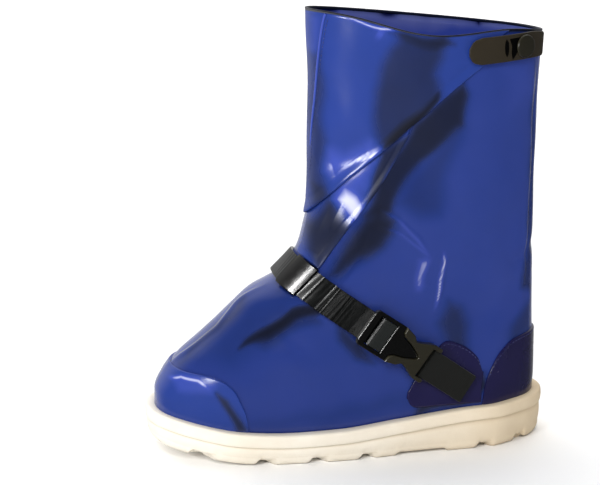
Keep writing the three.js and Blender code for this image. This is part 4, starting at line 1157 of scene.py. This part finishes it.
def stitchRow(name, levels, turns, lift):
    path = onCloth(levels, turns, lift)
    out = skinNormal(levels, turns)
    run = runLength(path)
    places = np.arange(thread["pitch"], run[-1] - thread["pitch"] / 2, thread["pitch"])

    def at(place, values):
        return np.stack([np.interp(place, run, values[:, k]) for k in range(3)], -1)

    centre = at(places, path)
    up = unit(at(places, out))
    along = unit(at(places + 0.5, path) - at(places - 0.5, path))
    side = np.cross(up, along)
    points = []
    faces = []
    sides = thread["sides"]
    for i in range(len(places)):
        start = len(points)
        for share, wide in ((-1, 0.2), (-0.65, 0.85), (0, 1), (0.65, 0.85), (1, 0.2)):
            for k in range(sides):
                angle = 2 * math.pi * k / sides
                reach = (side[i] * math.cos(angle) + up[i] * math.sin(angle)) * thread["radius"] * wide
                points.append(centre[i] + along[i] * share * thread["length"] / 2 + reach)
        faces += gridFaces(5, sides, True, start)
        faces += [tuple(range(start, start + sides)), tuple(range(start + 4 * sides, start + 5 * sides))]
    obj = newObject(name, points, faces, paleThread)
    flipOut(obj)
    fits(obj, "coated_cloth")


def makeThreads():
    onLayer = layer["gap"] + layer["cap"]
    turns = np.linspace(-counterTurn * 0.96, counterTurn * 0.96, 160)
    levels = levelAt(turns, lambda x: counterLine(x) - thread["inset"])
    stitchRow("counter_thread", levels, turns, onLayer)
    turns = np.linspace(turnAt(patchFront + patch["length"] - 3, 60), turnAt(patchFront + 14, 60), 80)
    levels = levelAt(turns, lambda x: patchLine(x) - thread["inset"])
    stitchRow("patch_thread", levels, turns, onLayer)
    share = np.linspace(0, 1, 90)
    levels = mix(rimLevel - 0.04, frontSeam["lowest"] + 0.1, share)
    beside = 0.045
    turns = mix(frontSeam["top"], frontSeam["foot"], share ** frontSeam["bend"]) * math.pi - beside
    stitchRow("front_seam_thread", levels, turns, layer["gap"] + foldStack + layer["fold"] + 0.25)


# Pieces kept from the solids' own shapes, with rounded edges

def roundedPiece(node, name, material, slot, width):
    source = frame["nodes"][node].data
    mesh = bpy.data.meshes.new(name)
    mesh.from_pydata([v.co[:] for v in source.vertices], [], [p.vertices[:] for p in source.polygons])
    bm = bmesh.new()
    bm.from_mesh(mesh)
    bmesh.ops.remove_doubles(bm, verts=bm.verts, dist=2e-6)
    bmesh.ops.dissolve_limit(bm, angle_limit=math.radians(1.5), verts=bm.verts, edges=bm.edges)
    for face in bm.faces:
        face.smooth = True
    bm.to_mesh(mesh)
    bm.free()
    mesh.materials.append(material)
    obj = addObject(name, mesh)
    bevel = obj.modifiers.new("edges", "BEVEL")
    bevel.width = width * mm
    bevel.segments = 3
    bevel.limit_method = "ANGLE"
    bevel.angle_limit = math.radians(40)
    bevel.harden_normals = False
    normals = obj.modifiers.new("normals", "WEIGHTED_NORMAL")
    normals.keep_sharp = True
    fits(obj, slot, node)


makeThreads()
print("threads made")

tab = {
    "length": 64,
    "fromBack": 8.5,
    "height": 325.4,
    "tilt": 4.5,
    "face": 5.75,
    "slot": 34.5,
}

# Painted shade of the tab's slot and cut: corners (x, z) on its face
tabMarks = {
    "tab_slot": [
        (0, 7), (1.6, 4.5), (2.1, 0), (1.6, -4.5), (0.4, -6.5), (-0.9, -3.5), (-1.4, 1), (-1, 5),
    ],
    "tab_cut": [
        (2.6, 7), (14.6, 7.6), (13.6, 3), (10.5, -1.5), (8, -6), (5.4, -9), (4.4, -4), (4.6, 1),
    ],
}


def makeTabMarks():
    # Flat dark shapes that lie on the tab: painted shade for the hole and the cut that go through it
    back = shaftBack - tab["fromBack"]
    rise = math.tan(math.radians(tab["tilt"]))
    for name, corners in tabMarks.items():
        shape = np.asarray(corners, float)
        x = back - tab["slot"] + shape[:, 0]
        z = tab["height"] + (x - back + tab["length"]) * rise + shape[:, 1]
        points = []
        for px, pz in zip(x, z):
            turn = np.array([turnAt(px, pz)])
            level = levelAt(turn, lambda unused, h=pz: h)
            points.append((skin(level, turn) + skinNormal(level, turn) * tab["face"])[0])
        low = np.array(points) - skinNormal(level, turn)[0] * 0.5
        count = len(points)
        faces = [tuple(range(count)), tuple(range(2 * count - 1, count - 1, -1))]
        faces += [(k, (k + 1) % count, count + (k + 1) % count, count + k) for k in range(count)]
        obj = newObject(name, np.concatenate([points, low]), faces, cutShade)
        obj.data.polygons.foreach_set("use_smooth", [False] * len(faces))
        flipOut(obj)
        fits(obj, "tab")


makeTabMarks()
# Node, name, material, slot and width of the rounded edges
fittings = [
    ("instep_strap", "ribbed_strap", blackRubber, "strap", 0.25),
    ("strap_keeper", "strap_loop", blackPlastic, "strap_keeper", 0.35),
    ("buckle_tongue", "buckle_prong_plate", blackPlastic, "buckle", 0.4),
    ("buckle_socket", "buckle_body", olivePlastic, "buckle_socket", 0.5),
    ("strap_anchor", "stitched_webbing", blackWebbing, "webbing", 0.4),
    ("top_tab", "closing_tab", oliveRubber, "tab", 0.5),
    ("snap_cap", "snap_button", olivePlastic, "snap", 0.5),
]
for fitting in fittings:
    roundedPiece(*fitting)
print("fittings made")


# Floor, light and camera

def pointAt(obj, place, aim):
    obj.location = place
    direction = Vector(aim) - Vector(place)
    obj.rotation_euler = direction.to_track_quat("-Z", "Y").to_euler()


def areaLight(name, place, aim, size, power):
    light = bpy.data.lights.new(name, "AREA")
    light.shape = "RECTANGLE"
    light.size, light.size_y = size
    light.energy = power
    obj = addObject(name, light)
    pointAt(obj, place, aim)
    return obj


def lightOnly(light, name, pieces):
    # The light falls on these pieces alone
    lit = bpy.data.collections.new(name)
    bpy.context.scene.collection.children.link(lit)
    for piece in pieces:
        lit.objects.link(piece)
    light.light_linking.receiver_collection = lit


def makeStudio():
    bpy.ops.mesh.primitive_plane_add(size=60, location=(0, 0, 0))
    floor = bpy.context.object
    floor.name = "floor"
    # Matt pale paper, kept out of the gloss of the cloth
    paper = {"Base_Color": hexColor("ffffff"), "Roughness": 0.9, "Specular_IOR_Level": 0.1}
    floor.data.materials.append(newMaterial("paleStudioFloor", **paper)[0])
    floor.visible_glossy = False
    # A room that is bright behind the shoe and dim in front of it
    world = bpy.data.worlds.new("paleRoom")
    world.use_nodes = True
    tree = world.node_tree
    view = addNode(tree, "ShaderNodeTexCoord").outputs["Generated"]
    back = addNode(tree, "ShaderNodeVectorMath", {0: view}, operation="DOT_PRODUCT")
    back.inputs[1].default_value = (-0.15, 0.9, 0.35)
    depth = remap(tree, back.outputs["Value"], 0.0, 1.0, 0.2, 0.75)
    sky = tree.nodes["Background"]
    tree.links.new(ramp(tree, depth, [(0, "616161"), (1, "ffffff")]), sky.inputs["Color"])
    sky.inputs["Strength"].default_value = 0.88
    bpy.context.scene.world = world
    # Places and sizes of the lights in metres, power in watts.
    # The side softbox leaves out the foot's cloth, which would show it as a pale veil.
    softbox = areaLight("softboxLeft", (-0.75, -0.75, 0.5), (0, 0, 0.22), (0.22, 0.3), 5.6)
    meshes = [obj for obj in bpy.context.scene.objects if obj.type == "MESH"]
    lightOnly(softbox, "sideLit", [obj for obj in meshes if obj.name != "upper_cloth"])
    overFront = areaLight("overFront", (-0.2, -1.35, 1.15), (0, 0, 0.12), (0.8, 0.6), 13.5)
    overFront.visible_glossy = False
    overBack = areaLight("overBack", (0, 3.6, 3.2), (0, 3.6, 0), (8, 6), 260)
    overBack.visible_glossy = False
    # Two small lights that fall on the strap and its fittings alone
    names = ("ribbed_strap", "strap_loop", "buckle_prong_plate", "buckle_body")
    strapPieces = [bpy.data.objects[name] for name in names]
    keeperCard = areaLight("keeperCard", (-0.79, -0.4, 0.69), (-0.04, -0.03, 0.145), (0.09, 0.3), 13)
    lightOnly(keeperCard, "keeperLit", strapPieces)
    ribCard = areaLight("ribCard", (0.02, -1.04, 0.1), (0, -0.05, 0.11), (0.3, 0.05), 0.16)
    lightOnly(ribCard, "ribLit", strapPieces)


# Place and aim in millimetres, lens for a sensor 36 mm wide
camera = {"place": (-230.6, -1083.3, 440.0), "aim": (-39.6, 0.0, 168.8), "lens": 83.9}


def makeCamera():
    data = bpy.data.cameras.new("photoCamera")
    data.lens = camera["lens"]
    data.sensor_width = 36
    data.clip_end = 50
    obj = addObject("photoCamera", data)
    pointAt(obj, Vector(camera["place"]) * mm, Vector(camera["aim"]) * mm)
    bpy.context.scene.camera = obj


makeStudio()
makeCamera()
bpy.context.scene.view_settings.view_transform = "Standard"


print("scene made")
